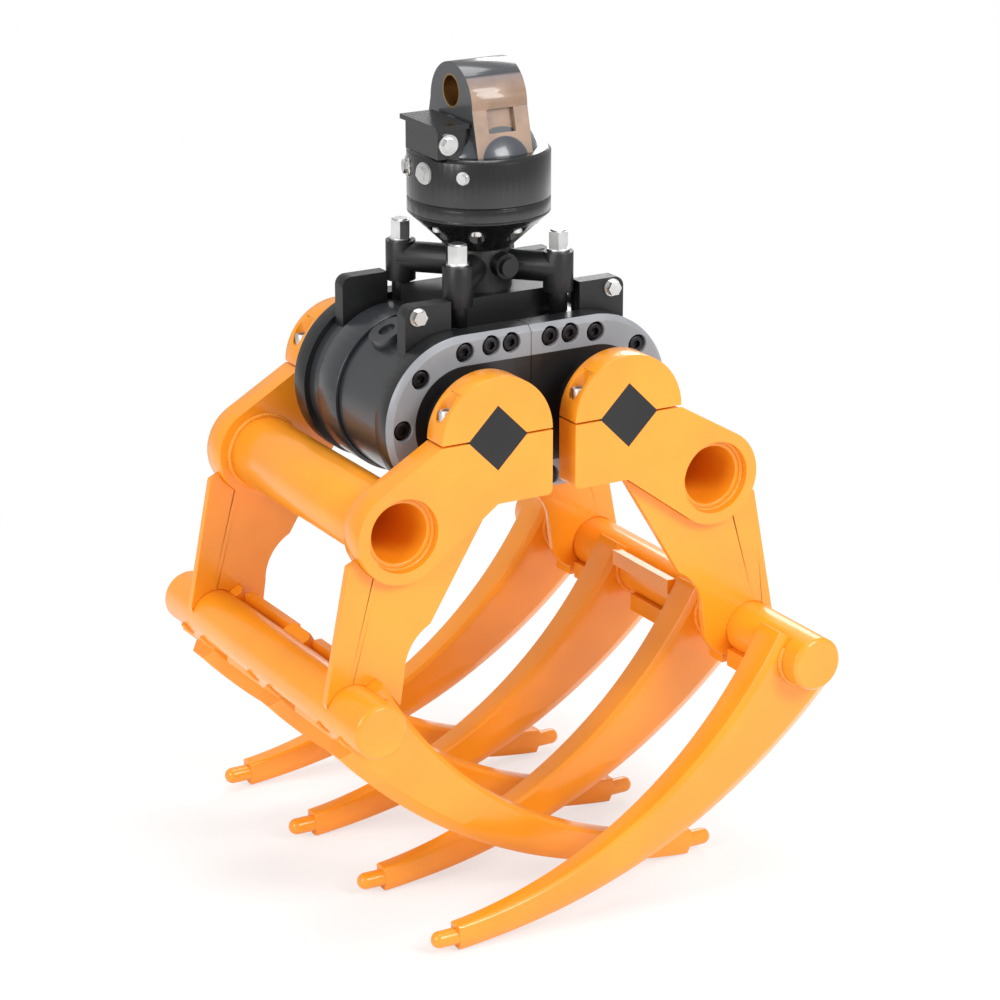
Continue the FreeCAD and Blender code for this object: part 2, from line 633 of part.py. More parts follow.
def brackets():
    """Plates across the head, cut to the barrels, that carry the casting."""
    corners = [
        ("-dim.ear_out", "dim.ear_low"),
        ("dim.ear_out", "dim.ear_low"),
        ("dim.ear_out", "dim.ear_top - dim.ear_round"),
        ("dim.ear_out - dim.ear_round", "dim.ear_top", "r", "dim.ear_round", "ccw"),
        ("-dim.ear_out + dim.ear_round", "dim.ear_top"),
        ("-dim.ear_out", "dim.ear_top - dim.ear_round", "r", "dim.ear_round", "ccw")]
    far = "dim.ear_near + dim.ear_thick"
    for label, near, away in (("front_bracket", f"-({far})", "-dim.ear_near"),
                              ("rear_bracket", "dim.ear_near", far)):
        body = new_body(label)
        pad_y(body, "plate", near, away, corners)
        pocket_y(body, "barrels", near, away, circles=[
            ("dim.axis_x", "0", "dim.barrel_r + dim.seat")])
        pocket_y(body, "barrels2", near, away, circles=[
            ("-dim.axis_x", "0", "dim.barrel_r + dim.seat")])
        pocket_y(body, "posts", near, away, corners=[
            ("-dim.corner_x - dim.corner_r - 1", "dim.corner_low - 60"),
            ("dim.corner_x + dim.corner_r + 1", "dim.corner_low - 60"),
            ("dim.corner_x + dim.corner_r + 1", "dim.ear_top + 5"),
            ("-dim.corner_x - dim.corner_r - 1", "dim.ear_top + 5")])
        finish(body, label)
    hexa = doc.addObject("Part::Prism", "bracket_hex")
    hexa.Polygon = 6
    hexa.Circumradius = 11
    hexa.Height = 9
    washer = cylinder("bracket_washer", "13", "2")
    hexa.Placement.Base = Vector(0, 0, 2)
    master = fuse("bracket_screw", [hexa, washer])
    places = []
    reach = value(far)
    for sx in (-1, 1):
        for sy in (-1, 1):
            places.append(Placement(
                Vector(sx * value("dim.ear_bolt_x"), sy * reach, value("dim.ear_bolt_up")),
                Rotation(Vector(0, 0, 1), Vector(0, sy, 0))))
    copies("bracket_bolts", master, places)


def actuator(side, name):
    """Barrel, band, gear and the two end flanges of one actuator; side is -1 or 1."""
    x = f"{side} * dim.axis_x"
    inner = "dim.flange_face - dim.flange_thick"
    body = new_body(f"barrel_{name}")
    pad_y(body, "wall", f"-({inner})", inner, circle=(x, "0", "dim.barrel_r"))
    pocket_y(body, "bore", f"-({inner})", inner, circles=[(x, "0", "dim.barrel_bore")])
    beyond = claw_side(side, [
        ("dim.flange_split", "-dim.flange_r"), ("dim.flange_split", "dim.flange_r"),
        ("-dim.flange_split - 25", "dim.flange_r"), ("-dim.flange_split - 25", "-dim.flange_r")])
    pocket_y(body, "flat", f"-({inner})", inner, beyond)
    finish(body, f"barrel_{name}")

    body = new_body(f"band_{name}")
    pad_y(body, "band", "dim.band_near", "dim.band_far", circle=(x, "0", "dim.band_r"))
    pocket_y(body, "bore", "dim.band_near", "dim.band_far",
             circles=[(x, "0", "dim.barrel_r + dim.seat")])
    pocket_y(body, "flat", "dim.band_near", "dim.band_far", beyond)
    finish(body, f"band_{name}")

    body = new_body(f"ring_gear_{name}")
    pad_y(body, "gear", "-dim.gear_half", "dim.gear_half",
          circle=(x, "0", "dim.barrel_bore - dim.seat"))
    pocket_y(body, "bore", "-dim.gear_half", "dim.gear_half", circles=[(x, "0", "dim.gear_r")])
    finish(body, f"ring_gear_{name}")

    body = new_body(f"{name}_piston")
    near = "-dim.piston_near"
    far = "dim.piston_long - dim.piston_near"
    pad_y(body, "sleeve", near, far, circle=(x, "0", "dim.gear_r - dim.gap"))
    pocket_y(body, "bore", near, far, circles=[(x, "0", "dim.shaft_r + dim.gap")])
    finish(body, f"{name}_piston")

    outline = [
        (f"{side} * dim.flange_split", "-dim.flange_r"),
        (x, "-dim.flange_r"),
        (x, "dim.flange_r", "cx", x, "ccw" if side > 0 else "cw"),
        (f"{side} * dim.flange_split", "dim.flange_r")]
    for where, sy in (("front", -1), ("rear", 1)):
        near = "-dim.flange_face" if sy < 0 else inner
        far = f"-({inner})" if sy < 0 else "dim.flange_face"
        body = new_body(f"end_flange_{where}_{name}")
        plate = pad_y(body, "plate", near, far, outline)
        face = sy * value("dim.flange_face")
        bevel = round_edges(body, "bevel", plate, "Chamfer", "dim.flange_bevel",
                            lambda e, face=face: abs(e.BoundBox.YMin - face) < 0.01
                            and abs(e.BoundBox.YMax - face) < 0.01
                            and e.BoundBox.XMax - e.BoundBox.XMin > 5)
        del bevel
        pocket_y(body, "bore", near, far, circles=[(x, "0", "dim.shaft_r + dim.run")])
        seats = near if sy < 0 else f"{far} - dim.screw_pocket_deep"
        floor = f"{near} + dim.screw_pocket_deep" if sy < 0 else far
        pocket_y(body, "seats", seats, floor,
                 circles=[(sx, sz, "dim.screw_pocket_r") for sx, sz in screw_spots(side)])
        pocket_y(body, "holes", near, far,
                 circles=[(sx, sz, "dim.screw_r + dim.seat")
                          for sx, sz in screw_spots(side)])
        finish(body, f"end_flange_{where}_{name}")


def screw_spots(side):
    """Flange screws: five round the outer half and four in the straight part."""
    spots = []
    for turn in (90, 135, 180, 225, 270):
        spots.append((f"{side} * (dim.axis_x - dim.screw_ring * cos({turn}))",
                      f"dim.screw_ring * sin({turn})"))
    for along in ("dim.screw_x1", "dim.screw_x2"):
        for up in ("dim.screw_up", "-dim.screw_up"):
            spots.append((f"{side} * {along}", up))
    return spots


def flange_screws():
    master = screw("flange_screw", "dim.screw_head_r", "dim.screw_head_high", "dim.screw_r",
                   "dim.flange_thick - dim.screw_pocket_deep")
    floor = value("dim.flange_face") - value("dim.screw_pocket_deep")
    for where, sy in (("front", -1), ("rear", 1)):
        places = []
        for side in (-1, 1):
            for x, z in screw_spots(side):
                places.append(Placement(Vector(value(x), sy * floor, value(z)),
                                        Rotation(Vector(0, 0, 1), Vector(0, sy, 0))))
        copies(f"flange_bolts_{where}", master, places)
    rings = []
    for i, (sx, sy) in enumerate([(a, b) for a in (-1, 1) for b in (-1, 1)], start=1):
        long = "dim.arm_near - dim.gap - dim.flange_face"
        start = "dim.flange_face" if sy > 0 else "-dim.arm_near + dim.gap"
        outer = cylinder(f"collar{i}", "dim.collar_r", long, f"{sx} * dim.axis_x", start,
                         "0", axis="Y")
        hole = cylinder(f"collar_bore{i}", "dim.shaft_r + dim.run", long,
                        f"{sx} * dim.axis_x", start, "0", axis="Y")
        rings.append(cut(f"collar_ring{i}", outer, hole))
    pack = doc.addObject("Part::Compound", "collar_pack")
    pack.Links = rings
    finish(pack, "end_collars")


def port_bosses():
    """A round boss on each barrel, square to its wall."""
    solids = []
    for side in (-1, 1):
        turn = math.radians(value("dim.boss_turn"))
        out = Vector(side * math.cos(turn), 0, math.sin(turn))
        centre = Vector(side * value("dim.axis_x"), -value("dim.boss_y"), 0)
        wall = value("dim.barrel_r")
        high = value("dim.port_boss_high")
        body = Part.makeCylinder(value("dim.port_boss_r"), high + 20,
                                 centre + out * (wall - 20), out)
        barrel = Part.makeCylinder(wall + value("dim.seat"), 600,
                                   Vector(centre.x, -300, 0), Vector(0, 1, 0))
        bore = Part.makeCylinder(value("dim.port_boss_r") * 0.45, high,
                                 centre + out * (wall + high - 6), out)
        solids.append(body.cut(barrel).cut(bore))
    obj = doc.addObject("Part::Feature", "port_bosses")
    obj.Shape = Part.makeCompound(solids)
    finish(obj, "barrel_port_bosses")


# ---------------------------------------------------------------- claws
TUBE = ("dim.tube_x", "-dim.tube_down")
LOW = ("dim.low_x", "-dim.low_down")
ARC_X = "((dim.arc_r + dim.hang) * cos(dim.hang_turn) - dim.low_x)"
ARC_UP = "((dim.arc_r + dim.hang) * sin(dim.hang_turn) - dim.low_down)"


def eye_point(turn):
    return (f"dim.tube_x + dim.eye_r * cos({turn})",
            f"-dim.tube_down + dim.eye_r * sin({turn})")


def arm_outline():
    """Lower clamp half and arm: V notch for the shaft, eye round the torque tube."""
    notch = "dim.square_half - dim.clamp_split"
    return [
        ("dim.axis_x + " + notch, "-dim.clamp_split"),
        ("dim.axis_x + dim.clamp_r", "-dim.clamp_split"),
        eye_point("dim.eye_high_turn"),
        eye_point("dim.eye_low_turn") + ("cx", "dim.tube_x", "cw"),
        ("dim.arm_low_out", "-dim.arm_low"),
        ("dim.arm_in + 8", "-dim.arm_low"),
        ("dim.arm_in", "-dim.arm_low + 8", "r", "8", "cw"),
        ("dim.arm_in", "-dim.clamp_split"),
        ("dim.axis_x - (" + notch + ")", "-dim.clamp_split"),
        ("dim.axis_x", "-dim.square_half")]


def cap_outline():
    notch = "dim.square_half - dim.clamp_split"
    half = "sqrt(dim.clamp_r ^ 2 - dim.clamp_split ^ 2)"
    return [
        ("dim.axis_x + " + notch, "dim.clamp_split"),
        (f"dim.axis_x + {half}", "dim.clamp_split"),
        (f"dim.axis_x - {half}", "dim.clamp_split", "cy", "0", "ccw"),
        ("dim.axis_x - (" + notch + ")", "dim.clamp_split"),
        ("dim.axis_x", "dim.square_half")]


def leg_outline():
    """Plate from the arm's eye down to the lower tube, which it half embraces."""
    return [
        ("dim.arm_low_out", "-dim.arm_low"),
        eye_point("dim.eye_low_turn"),
        eye_point("-25") + ("cx", "dim.tube_x", "ccw"),
        ("dim.tube_x + 79.5", "-dim.tube_down - 37"),
        ("dim.low_x + dim.low_r + 1", "-dim.low_down + 20"),
        ("dim.low_x + dim.low_r - 4", "-dim.low_down"),
        ("dim.low_x", "-dim.low_down"),
        ("dim.low_x - 28", "-dim.low_down - 28"),
        ("dim.low_x - 39", "-dim.low_down - 37"),
        ("dim.low_x - 78", "-dim.low_down - 1", "r", "55", "cw"),
        ("dim.low_x - 84", "-dim.low_down + 41"),
        ("dim.low_x - 126", "-dim.low_down + 108", "r", "75", "ccw")]


def tine_arc(turn, extra="0"):
    return (f"-{ARC_X} + (dim.arc_r + {extra}) * cos({turn})",
            f"{ARC_UP} - (dim.arc_r + {extra}) * sin({turn})")


def claw_side(side, corners):
    return corners if side > 0 else mirrored(corners)


def screw_holes(body, x, sy, low, high, radius):
    """Upright holes for the two clamp screws of one clamp, cut upwards from a level."""
    middle = f"{sy} * (dim.arm_near + dim.arm_thick / 2)"
    sketch = new_sketch(body, "holes_sketch", "XY_Plane", low)
    for off in (-1, 1):
        draw_circle(sketch, f"{x} + {off} * dim.clamp_screw_x", middle, radius)
    hole = feature(body, "Pocket", "holes", sketch, high)
    hole.Reversed = True


def claw(side, name):
    """Everything of one claw except its tines."""
    far = "dim.arm_near + dim.arm_thick"
    x = f"{side} * dim.axis_x"

    body = new_body(f"{name}_shaft")
    pad_y(body, "journal", "-dim.arm_near + dim.gap", "dim.arm_near - dim.gap",
          circle=(x, "0", "dim.shaft_r"))
    diamond = claw_side(side, [
        ("dim.axis_x + dim.square_half", "0"), ("dim.axis_x", "dim.square_half"),
        ("dim.axis_x - dim.square_half", "0"), ("dim.axis_x", "-dim.square_half")])
    pad_y(body, "square", f"-({far})", far, diamond)
    finish(body, f"{name}_shaft")

    for where, sy in (("front", -1), ("rear", 1)):
        near_y = f"-({far})" if sy < 0 else "dim.arm_near"
        far_y = "-dim.arm_near" if sy < 0 else far
        body = new_body(f"{name}_{where}_arm")
        pad_y(body, "plate", near_y, far_y, claw_side(side, arm_outline()))
        pocket_y(body, "eye", near_y, far_y,
                 circles=[(f"{side} * dim.tube_x", TUBE[1], "dim.tube_r + dim.seat")])
        screw_holes(body, x, sy, "dim.clamp_seat - dim.clamp_shank - 2", "dim.clamp_shank + 2",
                    "dim.clamp_shank_r + dim.seat")
        finish(body, f"{name}_{where}_arm")
        body = new_body(f"{name}_{where}_cap")
        pad_y(body, "plate", near_y, far_y, claw_side(side, cap_outline()))
        screw_holes(body, x, sy, "dim.clamp_seat", "dim.clamp_r", "dim.clamp_well_r")
        screw_holes(body, x, sy, "0", "dim.clamp_r", "dim.clamp_shank_r + dim.seat")
        finish(body, f"{name}_{where}_cap")

        leg_near = ("-dim.leg_near - dim.leg_thick" if sy < 0 else "dim.leg_near")
        leg_far = ("-dim.leg_near" if sy < 0 else "dim.leg_near + dim.leg_thick")
        body = new_body(f"{name}_{where}_leg")
        pad_y(body, "plate", leg_near, leg_far, claw_side(side, leg_outline()))
        pocket_y(body, "tube", leg_near, leg_far,
                 circles=[(f"{side} * dim.low_x", LOW[1], "dim.low_r + dim.seat")])
        if side < 0:
            pocket_y(body, "tine", leg_near, leg_far, mirrored([
                tine_arc("dim.tine_root_turn", "-dim.gap"),
                tine_arc("dim.tine_root_turn", "200"),
                tine_arc("45", "200"),
                tine_arc("45", "-dim.gap"),
                ]))
        finish(body, f"{name}_{where}_leg")

    master = screw(f"{name}_clamp_screw", "dim.clamp_screw_r", "dim.clamp_head_high",
                   "dim.clamp_shank_r", "dim.clamp_shank")
    places = []
    for sy in (-1, 1):
        for off in (-1, 1):
            places.append(Placement(Vector(
                value(x) + off * value("dim.clamp_screw_x"),
                sy * value("dim.arm_near + dim.arm_thick / 2"), value("dim.clamp_seat")),
                Rotation()))
    copies(f"{name}_clamp_screws", master, places)

    end = f"{far} - dim.tube_short"
    body = new_body(f"{name}_torque_tube")
    tx = f"{side} * dim.tube_x"
    pad_y(body, "wall", f"-({end})", end, circle=(tx, TUBE[1], "dim.tube_r"))
    pocket_y(body, "bore", f"-({end})", end, circles=[(tx, TUBE[1], "dim.tube_bore")])
    finish(body, f"{name}_torque_tube")

    half = f"dim.low_half_{name}"
    body = new_body(f"{name}_lower_tube")
    tube = pad_y(body, "tube", f"-{half}", half, circle=(f"{side} * dim.low_x", LOW[1],
                                                         "dim.low_r"))
    round_edges(body, "ends", tube, "Chamfer", "dim.low_bevel",
                lambda e: e.BoundBox.YMax - e.BoundBox.YMin < 0.01)
    finish(body, f"{name}_lower_tube")


def bars(side, name, under, inside):
    """Flat bars between the tines, cut to the lower tube that they are welded to.

    Spans are pairs of Y stations: outer bars lie under the tube, inner ones beside it.
    """
    shapes = {"bar": (under, "dim.bar_shift", "dim.bar_half", "-dim.bar_down",
                      "dim.bar_thick"),
              "web": (inside, "dim.web_near + dim.web_thick / 2", "dim.web_thick / 2",
                      "dim.web_up - dim.web_high", "dim.web_high")}
    pieces = []
    for kind, (spans, shift, half, low, high) in shapes.items():
        for i, (near, far) in enumerate(spans, start=1):
            start = f"{side} * (dim.low_x - ({shift})) - {half}"
            pieces.append(box(f"{name}_{kind}{i}", start, near, f"-dim.low_down + {low}",
                              f"2 * {half}", f"({far}) - ({near})", high))
    tube = cylinder(f"{name}_bar_tube", "dim.low_r + dim.seat", "1000",
                    f"{side} * dim.low_x", "-500", LOW[1], axis="Y")
    body = cut(f"{name}_bar_pack", fuse(f"{name}_bar_solids", pieces), tube)
    finish(body, f"{name}_bars")


STATIONS = (1.0, 0.82, 0.62, 0.4, 0.2, 0.0)


def tine(side, name, label, middle):
    """Curved casting, lofted through bevelled sections that taper in depth and thickness."""
    body = new_body(label)
    sketches = []
    for i, along in enumerate(STATIONS, start=1):
        turn = f"(dim.tine_tip_turn + {along} * (dim.tine_root_turn - dim.tine_tip_turn))"
        deep = (f"(dim.tine_tip + {along} ^ dim.tine_taper * "
                f"(dim.tine_root_{name} - dim.tine_tip))")
        half = f"(dim.tine_half_tip + {along} * (dim.tine_half_root - dim.tine_half_tip))"
        sketch = new_sketch(body, f"section{i}", "XY_Plane", ARC_UP)
        sketch.AttachmentOffset = Placement(Vector(), Rotation(Vector(0, 1, 0), 10))
        angle = turn if side > 0 else f"180 - {turn}"
        sketch.setExpression("AttachmentOffset.Rotation.Angle", angle)
        sketch.setExpression("AttachmentOffset.Base.x", f"{-side} * {ARC_X}")
        sketch.setExpression("AttachmentOffset.Base.y", middle)
        low, high = "dim.arc_r", f"dim.arc_r + {deep}"
        edge, bevel = f"{half} * 0.25", f"{half} * 0.45"
        rise = f"({half} * 0.3 + 10)"
        draw(sketch, [
            (low, f"-({half} - {edge})"),
            (f"{low} + {edge}", f"-{half}"),
            (f"{high} - {rise}", f"-{half}"),
            (high, f"-({half} - {bevel})"),
            (high, f"{half} - {bevel}"),
            (f"{high} - {rise}", half),
            (f"{low} + {edge}", half),
            (low, f"{half} - {edge}")])
        sketches.append(sketch)
    loft = body.newObject("PartDesign::AdditiveLoft", "horn")
    loft.Profile = sketches[0]
    loft.Sections = sketches[1:]
    loft.Ruled = False
    nub = new_sketch(body, "nub_sketch", "XZ_Plane", f"-({middle})")
    end_x, end_up = tine_arc("(dim.tine_tip_turn + dim.nub_turn)", "dim.nub_deep")
    nub.setExpression("AttachmentOffset.Base.x", f"{side} * ({end_x})")
    nub.setExpression("AttachmentOffset.Base.y", end_up)
    draw(nub, claw_side(side, [
        ("40", "0"),
        ("40", "dim.nub_r"),
        ("0", "dim.nub_r"),
        ("-dim.nub_r", "0", "r", "dim.nub_r", "ccw")]))
    tip = body.newObject("PartDesign::Revolution", "nub")
    tip.Profile = nub
    tip.ReferenceAxis = (nub, ["H_Axis"])
    tip.Angle = 360.0
    reach = f"({middle}) - 50"
    pocket_y(body, "saddle", reach, f"({middle}) + 50",
             circles=[(f"{side} * dim.low_x", LOW[1], "dim.low_r + dim.seat")])
    shoulder = [("58", "-61"), ("120", "-61"), ("120", "60"), ("30", "60"), ("38", "0")]
    if side < 0:
        shoulder = [("16", "-49"), ("60", "-90"), ("120", "60"), ("30", "60"), ("38", "0")]
    corners = [(f"dim.low_x + {dx}", f"-dim.low_down + {dz}") for dx, dz in shoulder]
    pocket_y(body, "shoulder", reach, f"({middle}) + 50", claw_side(side, corners))
    finish(body, label)


crane_link()
rotator_housing()
port_manifold()
port_plugs()
rotor_flange()
head_casting()
brackets()
for sign, word in ((-1, "left"), (1, "right")):
    actuator(sign, word)
    claw(sign, word)
flange_screws()
port_bosses()
half = "dim.tine_half_root"
stop = f"{half} - dim.bar_notch"
bars(-1, "left",
     [(f"-dim.tine_left + {half}", f"-{stop}"), (half, f"dim.tine_left - {stop}"),
      (f"dim.tine_left + {half}", "dim.low_half_left - 2")],
     [(f"-dim.tine_left + {half}", f"-{half}"), (half, f"dim.tine_left - {half}")])
bars(1, "right",
     [(f"-dim.tine_outer + {half}", "-dim.leg_near - dim.leg_thick"),
      ("-dim.leg_near", f"-dim.tine_inner - {stop}"),
      (f"-dim.tine_inner + {half}", f"dim.tine_inner - {stop}"),
      (f"dim.tine_inner + {half}", "dim.leg_near"),
      ("dim.leg_near + dim.leg_thick", f"dim.tine_outer - {stop}")],
     [(f"-dim.tine_inner + {half}", f"dim.tine_inner - {half}")])
for place, expr in (("front", "-dim.tine_left"), ("middle", "0"), ("rear", "dim.tine_left")):
    tine(-1, "left", f"left_tine_{place}", expr)
for place, expr in (("front", "-dim.tine_outer"), ("middle_front", "-dim.tine_inner"),
                    ("middle_rear", "dim.tine_inner"), ("rear", "dim.tine_outer")):
    tine(1, "right", f"right_tine_{place}", expr)

doc.recompute()
faults = [o.Name for o in doc.Objects if {"Invalid", "Error"} & set(o.State)]
if faults:
    raise RuntimeError(f"failed objects: {faults}")
for part in PARTS:
    if part.Shape.isNull() or not part.Shape.isValid():
        raise RuntimeError(f"bad shape: {part.Label}")
for part in PARTS:
    part.Shape.exportStep(f"parts/{part.Label}.step")
print(len(PARTS), "sub-parts written")
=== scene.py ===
"""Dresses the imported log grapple: paints, welds, screws and fittings, and the stage."""
import math

import bmesh
import bpy
from bpy.props import FloatProperty, FloatVectorProperty, PointerProperty
from mathutils import Matrix, Vector


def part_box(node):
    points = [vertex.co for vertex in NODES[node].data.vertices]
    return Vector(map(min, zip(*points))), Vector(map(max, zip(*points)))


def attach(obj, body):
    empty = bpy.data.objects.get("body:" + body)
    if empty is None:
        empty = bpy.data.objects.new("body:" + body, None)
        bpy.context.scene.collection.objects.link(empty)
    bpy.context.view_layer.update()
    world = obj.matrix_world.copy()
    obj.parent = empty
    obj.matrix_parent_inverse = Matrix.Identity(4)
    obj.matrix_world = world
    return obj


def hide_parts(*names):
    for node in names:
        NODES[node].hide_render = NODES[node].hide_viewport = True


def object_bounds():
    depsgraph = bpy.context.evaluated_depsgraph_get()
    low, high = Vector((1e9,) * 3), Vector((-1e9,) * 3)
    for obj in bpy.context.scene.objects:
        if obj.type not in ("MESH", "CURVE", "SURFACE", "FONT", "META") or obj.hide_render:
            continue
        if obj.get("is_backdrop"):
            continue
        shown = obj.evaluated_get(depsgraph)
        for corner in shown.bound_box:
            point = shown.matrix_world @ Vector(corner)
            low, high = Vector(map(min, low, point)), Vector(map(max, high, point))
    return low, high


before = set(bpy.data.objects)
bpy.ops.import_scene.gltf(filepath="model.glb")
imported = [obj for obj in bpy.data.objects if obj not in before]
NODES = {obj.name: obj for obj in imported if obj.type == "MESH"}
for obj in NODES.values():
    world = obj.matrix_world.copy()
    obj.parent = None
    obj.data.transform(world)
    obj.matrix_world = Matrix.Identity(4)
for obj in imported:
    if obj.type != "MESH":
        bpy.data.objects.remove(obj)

bl_info = {
    "name": "Log grapple",
    "version": (1, 0, 0),
    "blender": (4, 5, 0),
    "location": "View3D > Sidebar > Grapple",
    "description": "Paints and dresses the log grapple and sets up its stage",
    "category": "Object",
}

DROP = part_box("left_shaft")[0].z * 0.5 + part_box("left_shaft")[1].z * 0.5
AXIS_X = (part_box("right_shaft")[0].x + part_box("right_shaft")[1].x) / 2
SIDES = {"left": -1.0, "right": 1.0}

# Where finishes and the painted reflection on the flange border change, in metres; heights are
# above the shafts
DOME_UP = 0.326
DOME_R = 0.090
LINK_HALF = 0.045
LINK_FRONT = 0.042
COPPER_TOP = 0.440
LILAC_LOW = 0.475
# Inner edge of the painted reflection on the flanges' border, and the plane of the flanges'
# faces
BORDER_INNER = 0.081
BORDER_FACE = 0.1415
EDGE_BLEND = 0.0005

# Stage, in metres and watts: name, place, size and power of each lamp
LAMPS = (("key", (1.2, -3.2, 1.6), 1.6, 95.0), ("side", (-3.2, -1.0, 0.8), 1.8, 55.0),
         ("top", (0.3, 0.4, 3.2), 2.0, 60.0), ("rear", (2.4, 2.6, 1.2), 1.6, 40.0))
LAMPS_AIM = (0, 0, -0.6)
FLOOR_HALF = 30
FLOOR_DROP = 0.002
WORLD_LIGHT = 0.55
FLOOR_GLOW = 0.6
GLOW_NEAR, GLOW_FAR = 0.6, 3.0

# Weld beads: how far each stands off the surface that it lies on, in metres
TUBE_STAND = 0.001
TINE_STAND = 0.0012
FACE_STAND = 0.0005
TINE_WELD_TURNS = range(150, 331, 6)


# ------------------------------------------------------------------ sizes and colours
class GrappleFinish(bpy.types.PropertyGroup):
    claw_colour: FloatVectorProperty(
        name="Claw paint", description="Paint of the arms, tubes and tines",
        subtype="COLOR", size=3, min=0, max=1, default=(0.93, 0.325, 0.012))
    black_colour: FloatVectorProperty(
        name="Black paint", description="Paint of the rotator and the head",
        subtype="COLOR", size=3, min=0, max=1, default=(0.0055, 0.0058, 0.0065))
    barrel_colour: FloatVectorProperty(
        name="Barrel paint", description="Paint of the actuators' barrels",
        subtype="COLOR", size=3, min=0, max=1, default=(0.026, 0.029, 0.033))
    front_colour: FloatVectorProperty(
        name="Link front", description="Copper tone of the link's front",
        subtype="COLOR", size=3, min=0, max=1, default=(0.30, 0.19, 0.125))
    link_top_colour: FloatVectorProperty(
        name="Link top", description="Tone of the link's front above the recess",
        subtype="COLOR", size=3, min=0, max=1, default=(0.20, 0.175, 0.19))
    link_side_colour: FloatVectorProperty(
        name="Link sides", description="Grey of the link's sides",
        subtype="COLOR", size=3, min=0, max=1, default=(0.05, 0.052, 0.057))
    dome_colour: FloatVectorProperty(
        name="Dome", description="Grey of the polished dome under the link",
        subtype="COLOR", size=3, min=0, max=1, default=(0.055, 0.060, 0.070))
    # Painted reflection: this light grey on the end flanges' border stands in for the
    # reflection on their glossy faces
    border_reflection_colour: FloatVectorProperty(
        name="Flange border", description="Light grey of the end flanges' border",
        subtype="COLOR", size=3, min=0, max=1, default=(0.27, 0.28, 0.30))
    peel: FloatProperty(
        name="Orange peel", description="Height of the ripples in the paint",
        subtype="DISTANCE", unit="LENGTH", min=0, default=0.00012)


class GrappleSizes(bpy.types.PropertyGroup):
    weld_radius: FloatProperty(
        name="Weld radius", description="Half width of the weld beads",
        subtype="DISTANCE", unit="LENGTH", default=0.0042)
    weld_pitch: FloatProperty(
        name="Weld ripple", description="Distance between the ripples of a weld",
        subtype="DISTANCE", unit="LENGTH", default=0.0036)
    edge: FloatProperty(
        name="Edge rounding", description="Rounding of the plates' and castings' edges",
        subtype="DISTANCE", unit="LENGTH", default=0.0022)
    sensor: FloatProperty(
        name="Sensor", description="Width of the camera's sensor in millimetres",
        default=36.0)
    lens: FloatProperty(
        name="Lens", description="Focal length in millimetres", default=123.57)
    azimuth: FloatProperty(
        name="Azimuth", description="Camera's turn about the object in degrees",
        default=-29.948)
    elevation: FloatProperty(
        name="Elevation", description="Camera's height above the level in degrees",
        default=18.895)
    distance: FloatProperty(
        name="Camera distance", description="From the shafts' middle to the camera",
        subtype="DISTANCE", unit="LENGTH", default=5.03074)
    shift_right: FloatProperty(
        name="Shift right", description="Camera's shift to the right of the middle",
        subtype="DISTANCE", unit="LENGTH", default=0.0305)
    shift_down: FloatProperty(
        name="Shift down", description="Camera's shift below the middle",
        subtype="DISTANCE", unit="LENGTH", default=0.17148)


# ------------------------------------------------------------------ shader expressions
class Wire:
    """An output socket that builds Math nodes from Python operators."""

    def __init__(self, paint, socket):
        self.paint = paint
        self.socket = socket

    def _math(self, operation, *others):
        return self.paint.node("ShaderNodeMath", {"operation": operation},
                               dict(enumerate((self, *others))))

    def __add__(self, other):
        return self._math("ADD", other)

    def __radd__(self, other):
        return self._math("ADD", other)

    def __sub__(self, other):
        return self._math("SUBTRACT", other)

    def __rsub__(self, other):
        return self._math("MULTIPLY_ADD", -1.0, other)

    def __mul__(self, other):
        return self._math("MULTIPLY", other)

    def __rmul__(self, other):
        return self._math("MULTIPLY", other)

    def size(self):
        return self._math("ABSOLUTE")

    def root(self):
        return self._math("SQRT")

    def at_least(self, low):
        return self._math("MAXIMUM", low)

    def between(self, low, high):
        """0 below low, 1 above high, smooth between."""
        return self.paint.node(
            "ShaderNodeMapRange", {"interpolation_type": "SMOOTHSTEP"},
            {"Value": self, "From Min": low, "From Max": high, "To Min": 0.0, "To Max": 1.0})


